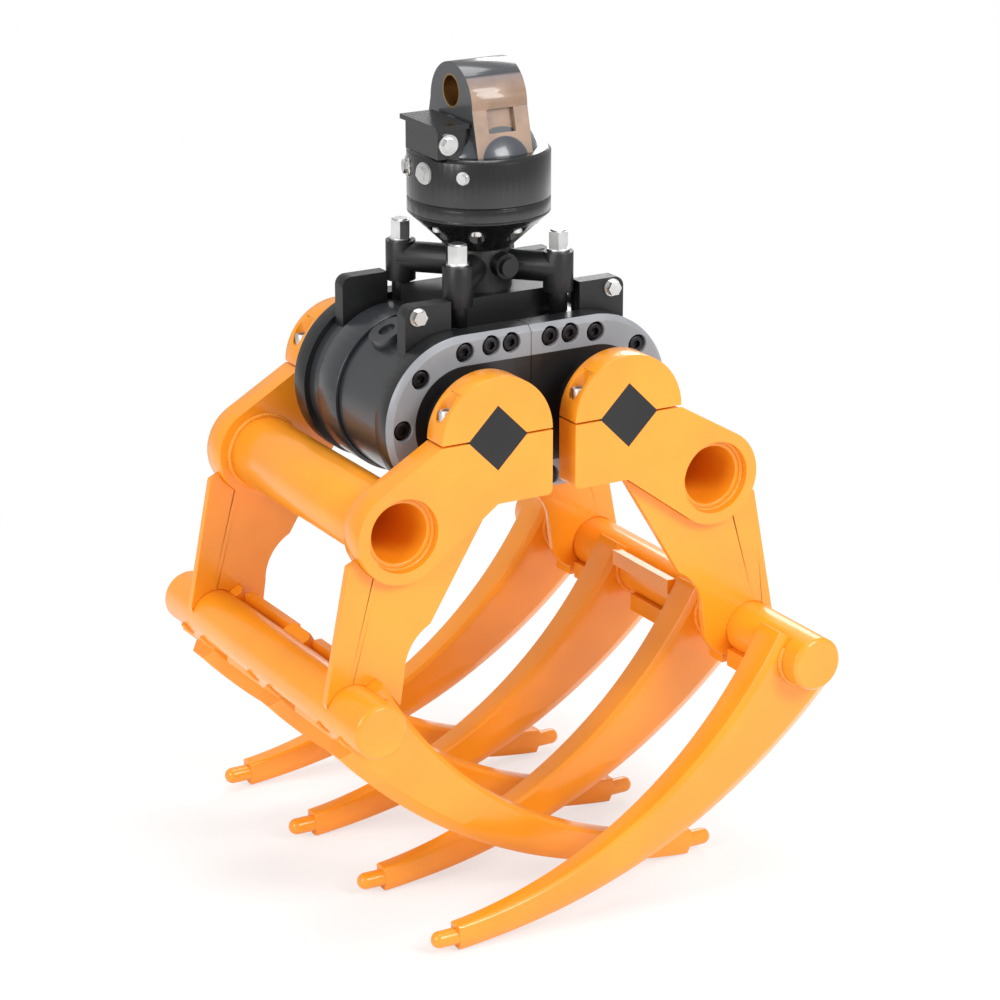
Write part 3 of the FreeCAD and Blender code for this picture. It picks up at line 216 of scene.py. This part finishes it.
class Paint:
    """A material with one Principled shader and helpers to wire it."""

    def __init__(self, name, **constants):
        self.material = bpy.data.materials.new(name)
        self.material.use_nodes = True
        self.tree = self.material.node_tree
        self.shader = self.tree.nodes["Principled BSDF"]
        for socket, number in constants.items():
            self.shader.inputs[socket.replace("_", " ")].default_value = number

    def node(self, kind, settings=None, inputs=None, output=0):
        node = self.tree.nodes.new(kind)
        for key, setting in (settings or {}).items():
            setattr(node, key, setting)
        for key, what in (inputs or {}).items():
            if isinstance(what, Wire):
                self.tree.links.new(what.socket, node.inputs[key])
            elif what is not None:
                node.inputs[key].default_value = what
        return Wire(self, node.outputs[output])

    def coordinates(self):
        return self.node("ShaderNodeTexCoord", output="Object")

    def xyz(self):
        parts = self.tree.nodes.new("ShaderNodeSeparateXYZ")
        self.tree.links.new(self.coordinates().socket, parts.inputs[0])
        return [Wire(self, out) for out in parts.outputs]

    def stretched(self, scale):
        return self.node("ShaderNodeMapping", {"vector_type": "POINT"},
                         {"Vector": self.coordinates(), "Scale": scale})

    def noise(self, scale, detail=3.0, rough=0.5, at=None):
        return self.node("ShaderNodeTexNoise", {},
                         {"Vector": at or self.coordinates(), "Scale": scale,
                          "Detail": detail, "Roughness": rough}, output=0)

    def mix(self, share, first, second):
        node = self.tree.nodes.new("ShaderNodeMix")
        node.data_type = "RGBA"
        for index, what in ((0, share), (6, first), (7, second)):
            if isinstance(what, Wire):
                self.tree.links.new(what.socket, node.inputs[index])
            elif index:
                node.inputs[index].default_value = (*what, 1.0)
            else:
                node.inputs[index].default_value = what
        return Wire(self, node.outputs[2])

    def bump(self, height, distance, below=None):
        return self.node("ShaderNodeBump", {}, {"Height": height, "Distance": distance,
                                                "Strength": 1.0, "Normal": below},
                         output="Normal")

    def feed(self, **links):
        for socket, wire in links.items():
            self.tree.links.new(wire.socket, self.shader.inputs[socket.replace("_", " ")])
        return self.material


def tone(colour, factor):
    return tuple(min(1.0, c * factor) for c in colour)


def enamel(name, colour, rough, peel, coat=0.35, grime=0.25):
    """Sprayed paint: soft orange peel, uneven tone and a little dust in random specks."""
    paint = Paint(name, Coat_Weight=coat, Coat_Roughness=0.12, Specular_IOR_Level=0.5)
    cloud = paint.noise(7.0, 2.0)
    speck = paint.noise(160.0, 2.0)
    shade = paint.mix(cloud.between(0.3, 0.72), tone(colour, 0.93), tone(colour, 1.06))
    dusty = paint.mix(speck.between(0.62, 0.8) * grime, shade, tone(colour, 0.72))
    height = paint.noise(210.0, 2.0) * 0.7 + paint.noise(640.0, 1.0) * 0.3
    return paint.feed(Base_Color=dusty,
                      Roughness=rough + cloud * 0.08 + speck * 0.05,
                      Normal=paint.bump(height, peel))


def cast_paint(name, colour, rough, grain, coat=0.15):
    """Paint over a sand casting: fine pits under a soft gloss."""
    paint = Paint(name, Coat_Weight=coat, Coat_Roughness=0.2)
    grains = paint.noise(520.0, 4.0, 0.65)
    cloud = paint.noise(11.0, 3.0)
    shade = paint.mix(cloud.between(0.35, 0.7), tone(colour, 0.85), tone(colour, 1.5))
    return paint.feed(Base_Color=shade, Roughness=rough + grains * 0.16 + cloud * 0.08,
                      Normal=paint.bump(grains, grain))


def steel(name, colour, rough, stretch=(1, 1, 1), bump=0.00003):
    """Machined or plated steel with fine tool marks along one direction."""
    paint = Paint(name, Metallic=1.0)
    marks = paint.noise(900.0, 2.0, at=paint.stretched(stretch))
    cloud = paint.noise(26.0, 3.0)
    shade = paint.mix(cloud.between(0.3, 0.75), tone(colour, 0.82), tone(colour, 1.08))
    return paint.feed(Base_Color=shade, Roughness=rough + marks * 0.14 + cloud * 0.06,
                      Normal=paint.bump(marks, bump))


def link_paint(name, finish):
    """Link with a copper front, grey sides and a polished dome under it."""
    paint = Paint(name, Coat_Weight=0.5, Coat_Roughness=0.08)
    copper = tuple(finish.front_colour)
    x, y, z = paint.xyz()
    up = z - (DROP + DOME_UP)
    dome = (x * x + y * y + up * up).root().between(DOME_R + 0.0008, DOME_R + 0.0003)
    front = (y.between(-LINK_FRONT + 0.002, -LINK_FRONT - 0.002)
             * x.size().between(LINK_HALF - 0.0001, LINK_HALF - EDGE_BLEND))
    cloud = paint.noise(30.0, 3.0)
    high = z.between(DROP + COPPER_TOP, DROP + LILAC_LOW)
    warm = paint.mix(high, paint.mix(cloud.between(0.3, 0.7), tone(copper, 0.82),
                                     tone(copper, 1.12)), tuple(finish.link_top_colour))
    sides = paint.mix(front, tuple(finish.link_side_colour), warm)
    return paint.feed(Base_Color=paint.mix(dome, sides, tuple(finish.dome_colour)),
                      Roughness=0.20 + cloud * 0.10 + front * 0.14 - dome * 0.08,
                      Normal=paint.bump(paint.noise(300.0, 2.0), 0.00006))


def flange_paint_and_reflection(name, colour, border_reflection_colour):
    """Dark flange whose border, outside a stadium round the shafts, is painted light grey as a
    painted reflection.
    """
    paint = Paint(name, Coat_Weight=0.2, Coat_Roughness=0.2)
    x, y, z = paint.xyz()
    # Mask of the border on the flanges' faces, where the painted reflection goes
    beside = (x.size() - AXIS_X).at_least(0.0)
    up = z - DROP
    border = (beside * beside + up * up).root().between(BORDER_INNER - EDGE_BLEND,
                                                        BORDER_INNER + EDGE_BLEND)
    face = y.size().between(BORDER_FACE - 0.0002, BORDER_FACE + 0.0002)
    cloud = paint.noise(14.0, 3.0)
    # Painted reflection: light grey on the border of the flanges' faces
    light = paint.mix(cloud.between(0.3, 0.7), tone(border_reflection_colour, 0.9),
                      tone(border_reflection_colour, 1.08))
    grains = paint.noise(420.0, 3.0)
    return paint.feed(Base_Color=paint.mix(border * face, colour, light),
                      Roughness=0.30 + cloud * 0.08 + grains * 0.06,
                      Normal=paint.bump(grains, 0.00008))


# ------------------------------------------------------------------ mesh helpers
def islands(node):
    """The separate solids of a CAD node as lists of points."""
    shape = bmesh.new()
    shape.from_mesh(NODES[node].data)
    bmesh.ops.remove_doubles(shape, verts=shape.verts, dist=1e-6)
    left = set(shape.verts)
    groups = []
    while left:
        seed = left.pop()
        group, todo = [seed], [seed]
        while todo:
            for edge in todo.pop().link_edges:
                for vert in edge.verts:
                    if vert in left:
                        left.remove(vert)
                        group.append(vert)
                        todo.append(vert)
        groups.append([v.co.copy() for v in group])
    shape.free()
    return groups


def extent(points):
    low = Vector([min(p[i] for p in points) for i in range(3)])
    high = Vector([max(p[i] for p in points) for i in range(3)])
    return low, high


def lathe(shape, profile, steps):
    """Add a closed body of revolution about Z from (radius, height) pairs."""
    rings = []
    for radius, height in profile:
        if radius < 1e-7:
            rings.append([shape.verts.new((0, 0, height))])
            continue
        rings.append([shape.verts.new((radius * math.cos(2 * math.pi * i / steps),
                                       radius * math.sin(2 * math.pi * i / steps), height))
                      for i in range(steps)])
    for lower, upper in zip(rings, rings[1:]):
        for i in range(steps):
            j = (i + 1) % steps
            corners = [lower[i % len(lower)], lower[j % len(lower)],
                       upper[j % len(upper)], upper[i % len(upper)]]
            face = list(dict.fromkeys(corners))
            if len(face) > 2:
                shape.faces.new(face)
    return rings


def socket_screw(name, radius, high, socket, deep, rounding):
    """A cap screw head with a hexagon socket, standing on z = 0."""
    shape = bmesh.new()
    steps = 30
    outer = [(0.0, 0.0), (radius, 0.0), (radius, high - rounding),
             (radius - rounding * 0.3, high - rounding * 0.3), (radius - rounding, high),
             (socket * 1.16, high)]
    rings = lathe(shape, outer, steps)
    hexes = []
    for level in (high, high - deep):
        ring = []
        for i in range(steps):
            turn = 2 * math.pi * i / steps
            part = (turn % (math.pi / 3)) - math.pi / 6
            reach = socket * math.cos(math.pi / 6) / math.cos(part)
            ring.append(shape.verts.new((reach * math.cos(turn), reach * math.sin(turn),
                                         level)))
        hexes.append(ring)
    floor = shape.verts.new((0, 0, high - deep * 1.15))
    for first, second in ((rings[-1], hexes[0]), (hexes[0], hexes[1])):
        for i in range(steps):
            j = (i + 1) % steps
            shape.faces.new((first[i], first[j], second[j], second[i]))
    for i in range(steps):
        shape.faces.new((hexes[1][i], hexes[1][(i + 1) % steps], floor))
    bmesh.ops.recalc_face_normals(shape, faces=shape.faces)
    mesh = bpy.data.meshes.new(name)
    shape.to_mesh(mesh)
    shape.free()
    return mesh


def smooth_by_angle(mesh, degrees=32.0):
    mesh.shade_smooth()
    mesh.set_sharp_from_angle(angle=math.radians(degrees))


# ------------------------------------------------------------------ geometry node trees
def tree_socket(tree, name, kind, default=None, output=False):
    socket = tree.interface.new_socket(name=name, in_out="OUTPUT" if output else "INPUT",
                                       socket_type=kind)
    if default is not None:
        socket.default_value = default
    return socket


def fasteners_tree():
    """Puts a copy of an object on each point, turned to the point's aim."""
    tree = bpy.data.node_groups.new("fasteners", "GeometryNodeTree")
    tree_socket(tree, "Points", "NodeSocketGeometry")
    tree_socket(tree, "Fastener", "NodeSocketObject")
    tree_socket(tree, "Size", "NodeSocketFloat", 1.0)
    tree_socket(tree, "Finish", "NodeSocketMaterial")
    tree_socket(tree, "Result", "NodeSocketGeometry", output=True)
    add, link = tree.nodes.new, tree.links.new
    start, end = add("NodeGroupInput"), add("NodeGroupOutput")
    info = add("GeometryNodeObjectInfo")
    aim = add("GeometryNodeInputNamedAttribute")
    aim.data_type = "FLOAT_VECTOR"
    aim.inputs["Name"].default_value = "aim"
    turn = add("FunctionNodeAlignRotationToVector")
    turn.axis = "Z"
    spin = add("FunctionNodeRandomValue")
    spin.data_type = "FLOAT"
    spin.inputs["Max"].default_value = 1.0
    spin.inputs["Seed"].default_value = 7
    euler = add("FunctionNodeAxisAngleToRotation")
    euler.inputs["Axis"].default_value = (0, 0, 1)
    rotate = add("FunctionNodeRotateRotation")
    rotate.rotation_space = "LOCAL"
    place = add("GeometryNodeInstanceOnPoints")
    real = add("GeometryNodeRealizeInstances")
    paint = add("GeometryNodeSetMaterial")
    link(start.outputs["Points"], place.inputs["Points"])
    link(start.outputs["Fastener"], info.inputs["Object"])
    link(info.outputs["Geometry"], place.inputs["Instance"])
    link(aim.outputs["Attribute"], turn.inputs["Vector"])
    link(spin.outputs[1], euler.inputs["Angle"])
    link(turn.outputs["Rotation"], rotate.inputs["Rotation"])
    link(euler.outputs["Rotation"], rotate.inputs["Rotate By"])
    link(rotate.outputs["Rotation"], place.inputs["Rotation"])
    link(start.outputs["Size"], place.inputs["Scale"])
    link(place.outputs["Instances"], real.inputs["Geometry"])
    link(real.outputs["Geometry"], paint.inputs["Geometry"])
    link(start.outputs["Finish"], paint.inputs["Material"])
    link(paint.outputs["Geometry"], end.inputs["Result"])
    return tree


def weld_tree():
    """A rippled bead along each curve."""
    tree = bpy.data.node_groups.new("weld_bead", "GeometryNodeTree")
    tree_socket(tree, "Paths", "NodeSocketGeometry")
    tree_socket(tree, "Radius", "NodeSocketFloat", 0.004)
    tree_socket(tree, "Pitch", "NodeSocketFloat", 0.0036)
    tree_socket(tree, "Finish", "NodeSocketMaterial")
    tree_socket(tree, "Result", "NodeSocketGeometry", output=True)
    add, link = tree.nodes.new, tree.links.new
    start, end = add("NodeGroupInput"), add("NodeGroupOutput")
    lines = add("GeometryNodeMeshToCurve")
    third = add("ShaderNodeMath")
    third.operation = "MULTIPLY"
    third.inputs[1].default_value = 0.34
    even = add("GeometryNodeResampleCurve")
    even.mode = "LENGTH"
    along = add("GeometryNodeSplineParameter")
    waves = add("ShaderNodeMath")
    waves.operation = "DIVIDE"
    angle = add("ShaderNodeMath")
    angle.operation = "MULTIPLY"
    angle.inputs[1].default_value = 2 * math.pi
    ripple = add("ShaderNodeMath")
    ripple.operation = "SINE"
    share = add("ShaderNodeMath")
    share.operation = "MULTIPLY_ADD"
    share.inputs[1].default_value = 0.10
    share.inputs[2].default_value = 1.0
    width = add("GeometryNodeSetCurveRadius")
    ring = add("GeometryNodeCurvePrimitiveCircle")
    ring.inputs["Resolution"].default_value = 10
    skin = add("GeometryNodeCurveToMesh")
    skin.inputs["Fill Caps"].default_value = True
    real = add("GeometryNodeRealizeInstances")
    paint = add("GeometryNodeSetMaterial")
    link(start.outputs["Paths"], lines.inputs["Mesh"])
    link(start.outputs["Pitch"], third.inputs[0])
    link(lines.outputs["Curve"], even.inputs["Curve"])
    link(third.outputs[0], even.inputs["Length"])
    link(along.outputs["Length"], waves.inputs[0])
    link(start.outputs["Pitch"], waves.inputs[1])
    link(waves.outputs[0], angle.inputs[0])
    link(angle.outputs[0], ripple.inputs[0])
    link(ripple.outputs[0], share.inputs[0])
    link(even.outputs["Curve"], width.inputs["Curve"])
    link(share.outputs[0], width.inputs["Radius"])
    link(width.outputs["Curve"], skin.inputs["Curve"])
    link(start.outputs["Radius"], ring.inputs["Radius"])
    link(ring.outputs["Curve"], skin.inputs["Profile Curve"])
    link(share.outputs[0], skin.inputs["Scale"])
    link(skin.outputs["Mesh"], real.inputs["Geometry"])
    link(real.outputs["Geometry"], paint.inputs["Geometry"])
    link(start.outputs["Finish"], paint.inputs["Material"])
    link(paint.outputs["Geometry"], end.inputs["Result"])
    return tree


def grow(name, mesh, tree, inputs, body):
    """Run a node tree on a carrier mesh and keep its result as a plain piece."""
    carrier = bpy.data.objects.new(name + "_carrier", mesh)
    bpy.context.scene.collection.objects.link(carrier)
    modifier = carrier.modifiers.new(name, "NODES")
    modifier.node_group = tree
    for item in tree.interface.items_tree:
        if item.in_out == "INPUT" and item.name in inputs:
            modifier[item.identifier] = inputs[item.name]
    bpy.context.view_layer.update()
    graph = bpy.context.evaluated_depsgraph_get()
    result = bpy.data.meshes.new_from_object(carrier.evaluated_get(graph), depsgraph=graph)
    result.name = name
    carrier.modifiers.clear()
    bpy.data.objects.remove(carrier)
    smooth_by_angle(result, 40)
    piece = bpy.data.objects.new(name, result)
    bpy.context.scene.collection.objects.link(piece)
    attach(piece, body)
    return piece


def point_carrier(name, places):
    """A mesh of loose points with an aim for each."""
    mesh = bpy.data.meshes.new(name)
    mesh.from_pydata([place for place, _ in places], [], [])
    aims = mesh.attributes.new("aim", "FLOAT_VECTOR", "POINT")
    for i, (_, aim) in enumerate(places):
        aims.data[i].vector = aim
    return mesh


def path_carrier(name, paths):
    """A mesh of open or closed chains of edges."""
    points, edges = [], []
    for path, closed in paths:
        first = len(points)
        points += path
        edges += [(first + i, first + i + 1) for i in range(len(path) - 1)]
        if closed:
            edges.append((len(points) - 1, first))
    mesh = bpy.data.meshes.new(name)
    mesh.from_pydata(points, edges, [])
    return mesh


def helper(name, mesh):
    thing = bpy.data.objects.new(name, mesh)
    bpy.context.scene.collection.objects.link(thing)
    return thing


MATERIALS = {}


def build_materials():
    finish = bpy.context.scene.grapple_finish
    peel = finish.peel
    claw, black = tuple(finish.claw_colour), tuple(finish.black_colour)
    barrel = tuple(finish.barrel_colour)
    MATERIALS.update({
        "claw": enamel("claw_enamel", claw, 0.28, peel, 0.4, 0.06),
        "tine": enamel("tine_enamel", claw, 0.27, peel, 0.45, 0.05),
        "black": enamel("black_enamel", black, 0.20, peel * 0.6, 0.4, 0.0),
        "casting": cast_paint("black_casting", black, 0.34, 0.00025, 0.1),
        "link": link_paint("link_enamel", finish),
        "barrel": enamel("barrel_enamel", barrel, 0.27, peel * 0.5, 0.4, 0.1),
        # The flanges' border carries a painted light-grey reflection
        "flange": flange_paint_and_reflection("flange_paint_and_reflection", tone(black, 1.6),
                               tuple(finish.border_reflection_colour)),
        "plated": steel("plated_steel", (0.72, 0.72, 0.71), 0.24),
        "machined": steel("machined_steel", (0.42, 0.42, 0.43), 0.26, (1, 0.05, 1)),
        "blackened": steel("blackened_steel", (0.045, 0.045, 0.05), 0.33),
        "bronze": steel("bushing_bronze", (0.42, 0.27, 0.12), 0.3, (0.05, 1, 1)),
        "square": cast_paint("square_end", (0.006, 0.006, 0.007), 0.42, 0.00005, 0.0),
    })


def material_for(node):
    if node == "crane_link":
        return "link"
    if node in ("rotator_housing", "port_manifold", "rotor_flange"):
        return "black"
    if node in ("head_casting", "front_bracket", "rear_bracket", "port_adapters",
                "end_collars", "gallery_plugs"):
        return "casting"
    if node.startswith("end_flange"):
        return "flange"
    if node.startswith(("barrel", "band")):
        return "barrel"
    if node in ("hex_caps", "port_plugs", "bracket_bolts"):
        return "plated"
    if node == "link_bushing":
        return "bronze"
    if node.endswith("_shaft"):
        return "square"
    if node.startswith("ring_gear") or node.endswith("piston"):
        return "machined"
    if "bolts" in node or "screws" in node:
        return "blackened"
    if "tine" in node:
        return "tine"
    return "claw"


ROUNDED = ("arm", "cap", "leg", "tine", "bars", "lower_tube", "torque_tube", "end_flange",
           "head_casting", "bracket", "crane_link", "rotator_housing", "port_manifold",
           "rotor_flange", "barrel_port_bosses", "band")


class GRAPPLE_OT_paint(bpy.types.Operator):
    """Paint the CAD nodes and soften their edges"""

    bl_idname = "grapple.paint"
    bl_label = "Paint the nodes"

    def execute(self, context):
        build_materials()
        edge = context.scene.grapple_sizes.edge
        for name, thing in NODES.items():
            thing.data.materials.clear()
            thing.data.materials.append(MATERIALS[material_for(name)])
            weld = thing.modifiers.new("join", "WELD")
            weld.merge_threshold = 2e-6
            if any(word in name for word in ROUNDED) and "bolts" not in name:
                bevel = thing.modifiers.new("edge", "BEVEL")
                bevel.width = edge * 2 if "tine" in name else edge
                bevel.segments = 3 if "tine" in name else 2
                bevel.limit_method = "ANGLE"
                bevel.angle_limit = math.radians(33)
                bevel.use_clamp_overlap = True
                bevel.harden_normals = True
        return {"FINISHED"}


class GRAPPLE_OT_screws(bpy.types.Operator):
    """Socket screws in the end flanges, the rotor flange and the clamps"""

    bl_idname = "grapple.screws"
    bl_label = "Socket screws"

    def execute(self, context):
        tree = fasteners_tree()
        rows = (("flange_bolts_front", "head", 1, -1.0), ("flange_bolts_rear", "head", 1, 1.0),
                ("rotor_bolts", "head", 2, -1.0), ("left_clamp_screws", "left_claw", 2, 1.0),
                ("right_clamp_screws", "right_claw", 2, 1.0))
        for node, body, axis, sign in rows:
            places = []
            for points in islands(node):
                low, high = extent(points)
                middle = (low + high) / 2
                radius = (high - low)[(axis + 1) % 3] / 2
                level = high[axis] if sign > 0 else low[axis]
                steps = sorted({round(p[axis], 5) for p in points}, reverse=sign > 0)
                seat = steps[1]
                place = middle.copy()
                place[axis] = seat
                aim = Vector((0, 0, 0))
                aim[axis] = sign
                places.append((place, aim))
                tall = abs(level - seat)
            screw = helper(node + "_model", socket_screw(
                node + "_mesh", radius, tall, radius * 0.55, tall * 0.5, radius * 0.16))
            dark = node.startswith("flange")
            finish = MATERIALS["blackened" if dark else "plated"]
            piece = grow(node + "_sockets", point_carrier(node, places), tree,
                         {"Fastener": screw, "Size": 1.0, "Finish": finish},
                         body)
            bpy.data.objects.remove(screw)
            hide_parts(node)
        return {"FINISHED"}


def ring_path(centre, radius, y, steps=96):
    return ([Vector((centre[0] + radius * math.cos(2 * math.pi * i / steps), y,
                     centre[1] + radius * math.sin(2 * math.pi * i / steps)))
             for i in range(steps)], True)


class GRAPPLE_OT_welds(bpy.types.Operator):
    """Weld beads where tubes, plates and tines meet"""

    bl_idname = "grapple.welds"
    bl_label = "Weld beads"

    def execute(self, context):
        sizes = context.scene.grapple_sizes
        tree = weld_tree()
        for side, sign in SIDES.items():
            low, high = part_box(f"{side}_lower_tube")
            tube = ((low.x + high.x) / 2, (low.z + high.z) / 2)
            tube_r = (high.z - low.z) / 2
            low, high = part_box(f"{side}_torque_tube")
            beam = ((low.x + high.x) / 2, (low.z + high.z) / 2)
            beam_r = (high.z - low.z) / 2
            paths = []
            for where in ("front", "rear"):
                out = -1 if where == "front" else 1
                low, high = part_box(f"{side}_{where}_arm")
                inner = high.y if out < 0 else low.y
                paths.append(ring_path(beam, beam_r + TUBE_STAND, inner - out * FACE_STAND))
                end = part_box(f"{side}_torque_tube")[0 if out < 0 else 1].y
                paths.append(ring_path(beam, beam_r - TUBE_STAND, end + out * FACE_STAND))
            tines = [n for n in NODES if n.startswith(f"{side}_tine")]
            for name in tines:
                low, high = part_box(name)
                middle = (low.y + high.y) / 2
                half = (high.y - low.y) / 2
                for face in (-1, 1):
                    y = middle + face * (half - FACE_STAND)
                    turns = [math.radians(a) for a in TINE_WELD_TURNS]
                    reach = tube_r + TINE_STAND
                    path = [Vector((tube[0] + sign * reach * math.cos(t), y,
                                    tube[1] + reach * math.sin(t)))
                            for t in turns]
                    paths.append((path, False))
            grow(f"{side}_welds", path_carrier(f"{side}_welds", paths), tree,
                 {"Radius": sizes.weld_radius, "Pitch": sizes.weld_pitch,
                  "Finish": MATERIALS["claw"]}, f"{side}_claw")
        return {"FINISHED"}


def floor_paint():
    """White floor that keeps a soft shadow and turns pure white far out."""
    paint = Paint("floor_white", Roughness=0.9)
    paint.shader.inputs["Base Color"].default_value = (0.93, 0.93, 0.93, 1)
    x, y, _ = paint.xyz()
    far = (x * x + y * y).between(GLOW_NEAR, GLOW_FAR)
    seen = paint.node("ShaderNodeLightPath", output="Is Camera Ray")
    glow = paint.node("ShaderNodeEmission", {}, {"Color": (1, 1, 1, 1), "Strength": 1.0})
    share = seen * (far * (1 - FLOOR_GLOW) + FLOOR_GLOW)
    lit = Wire(paint, paint.shader.outputs["BSDF"])
    white = paint.node("ShaderNodeMixShader", {}, {0: share, 1: lit, 2: glow})
    surface = paint.tree.nodes["Material Output"].inputs["Surface"]
    paint.tree.links.new(white.socket, surface)
    return paint.material


def light_world(scene):
    """Even light from all sides, seen as pure white."""
    world = bpy.data.worlds.new("studio")
    scene.world = world
    world.use_nodes = True
    tree = world.node_tree
    lit = tree.nodes["Background"]
    seen = tree.nodes.new("ShaderNodeBackground")
    for shade, strength in ((lit, WORLD_LIGHT), (seen, 1.0)):
        shade.inputs["Color"].default_value = (1, 1, 1, 1)
        shade.inputs["Strength"].default_value = strength
    path = tree.nodes.new("ShaderNodeLightPath")
    mix = tree.nodes.new("ShaderNodeMixShader")
    tree.links.new(path.outputs["Is Camera Ray"], mix.inputs[0])
    tree.links.new(lit.outputs[0], mix.inputs[1])
    tree.links.new(seen.outputs[0], mix.inputs[2])
    tree.links.new(mix.outputs[0], tree.nodes["World Output"].inputs[0])


class GRAPPLE_OT_stage(bpy.types.Operator):
    """Floor, backdrop, lamps and camera"""

    bl_idname = "grapple.stage"
    bl_label = "Stage"

    def execute(self, context):
        scene = context.scene
        sizes = scene.grapple_sizes
        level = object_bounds()[0].z - FLOOR_DROP
        mesh = bpy.data.meshes.new("floor")
        mesh.from_pydata([(sx * FLOOR_HALF, sy * FLOOR_HALF, level)
                          for sx, sy in ((-1, -1), (1, -1), (1, 1), (-1, 1))],
                         [], [(0, 1, 2, 3)])
        floor = helper("floor", mesh)
        mesh.materials.append(floor_paint())
        floor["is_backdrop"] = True
        light_world(scene)
        for name, spot, size, power in LAMPS:
            light = bpy.data.lights.new(name, "AREA")
            light.size = size
            light.energy = power
            lamp = bpy.data.objects.new(name, light)
            scene.collection.objects.link(lamp)
            lamp.location = spot
            aim = Vector(LAMPS_AIM) - Vector(spot)
            lamp.rotation_mode = "QUATERNION"
            lamp.rotation_quaternion = aim.to_track_quat("-Z", "Y")
        azimuth, elevation = math.radians(sizes.azimuth), math.radians(sizes.elevation)
        away = Vector((math.sin(azimuth) * math.cos(elevation),
                       -math.cos(azimuth) * math.cos(elevation), math.sin(elevation)))
        right = (-away).cross(Vector((0, 0, 1))).normalized()
        up = right.cross(-away)
        data = bpy.data.cameras.new("camera")
        data.sensor_width, data.lens = sizes.sensor, sizes.lens
        data.clip_start, data.clip_end = 0.05, 100
        camera = bpy.data.objects.new("camera", data)
        scene.collection.objects.link(camera)
        camera.location = (Vector((0, 0, DROP)) + right * sizes.shift_right
                           - up * sizes.shift_down + away * sizes.distance)
        camera.rotation_mode = "QUATERNION"
        camera.rotation_quaternion = Matrix((right, up, away)).transposed().to_quaternion()
        scene.camera = camera
        scene.view_settings.view_transform = "Standard"
        return {"FINISHED"}


class GRAPPLE_PT_panel(bpy.types.Panel):
    """Lists the steps that dress the grapple"""

    bl_label = "Log grapple"
    bl_idname = "GRAPPLE_PT_panel"
    bl_space_type = "VIEW_3D"
    bl_region_type = "UI"
    bl_category = "Grapple"

    def draw(self, context):
        for group in (context.scene.grapple_finish, context.scene.grapple_sizes):
            for key in group.bl_rna.properties.keys():
                if key not in ("rna_type", "name"):
                    self.layout.prop(group, key)
        for step in STEPS:
            self.layout.operator(step.bl_idname)


STEPS = (GRAPPLE_OT_paint, GRAPPLE_OT_screws, GRAPPLE_OT_welds, GRAPPLE_OT_stage)
CLASSES = (GrappleFinish, GrappleSizes, *STEPS, GRAPPLE_PT_panel)


def register():
    for kind in CLASSES:
        bpy.utils.register_class(kind)
    bpy.types.Scene.grapple_finish = PointerProperty(type=GrappleFinish)
    bpy.types.Scene.grapple_sizes = PointerProperty(type=GrappleSizes)


def unregister():
    del bpy.types.Scene.grapple_sizes
    del bpy.types.Scene.grapple_finish
    for kind in reversed(CLASSES):
        bpy.utils.unregister_class(kind)


def main():
    register()
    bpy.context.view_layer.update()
    bpy.ops.grapple.paint()
    bpy.ops.grapple.screws()
    bpy.ops.grapple.welds()
    bpy.ops.grapple.stage()


if __name__ == "__main__":
    main()
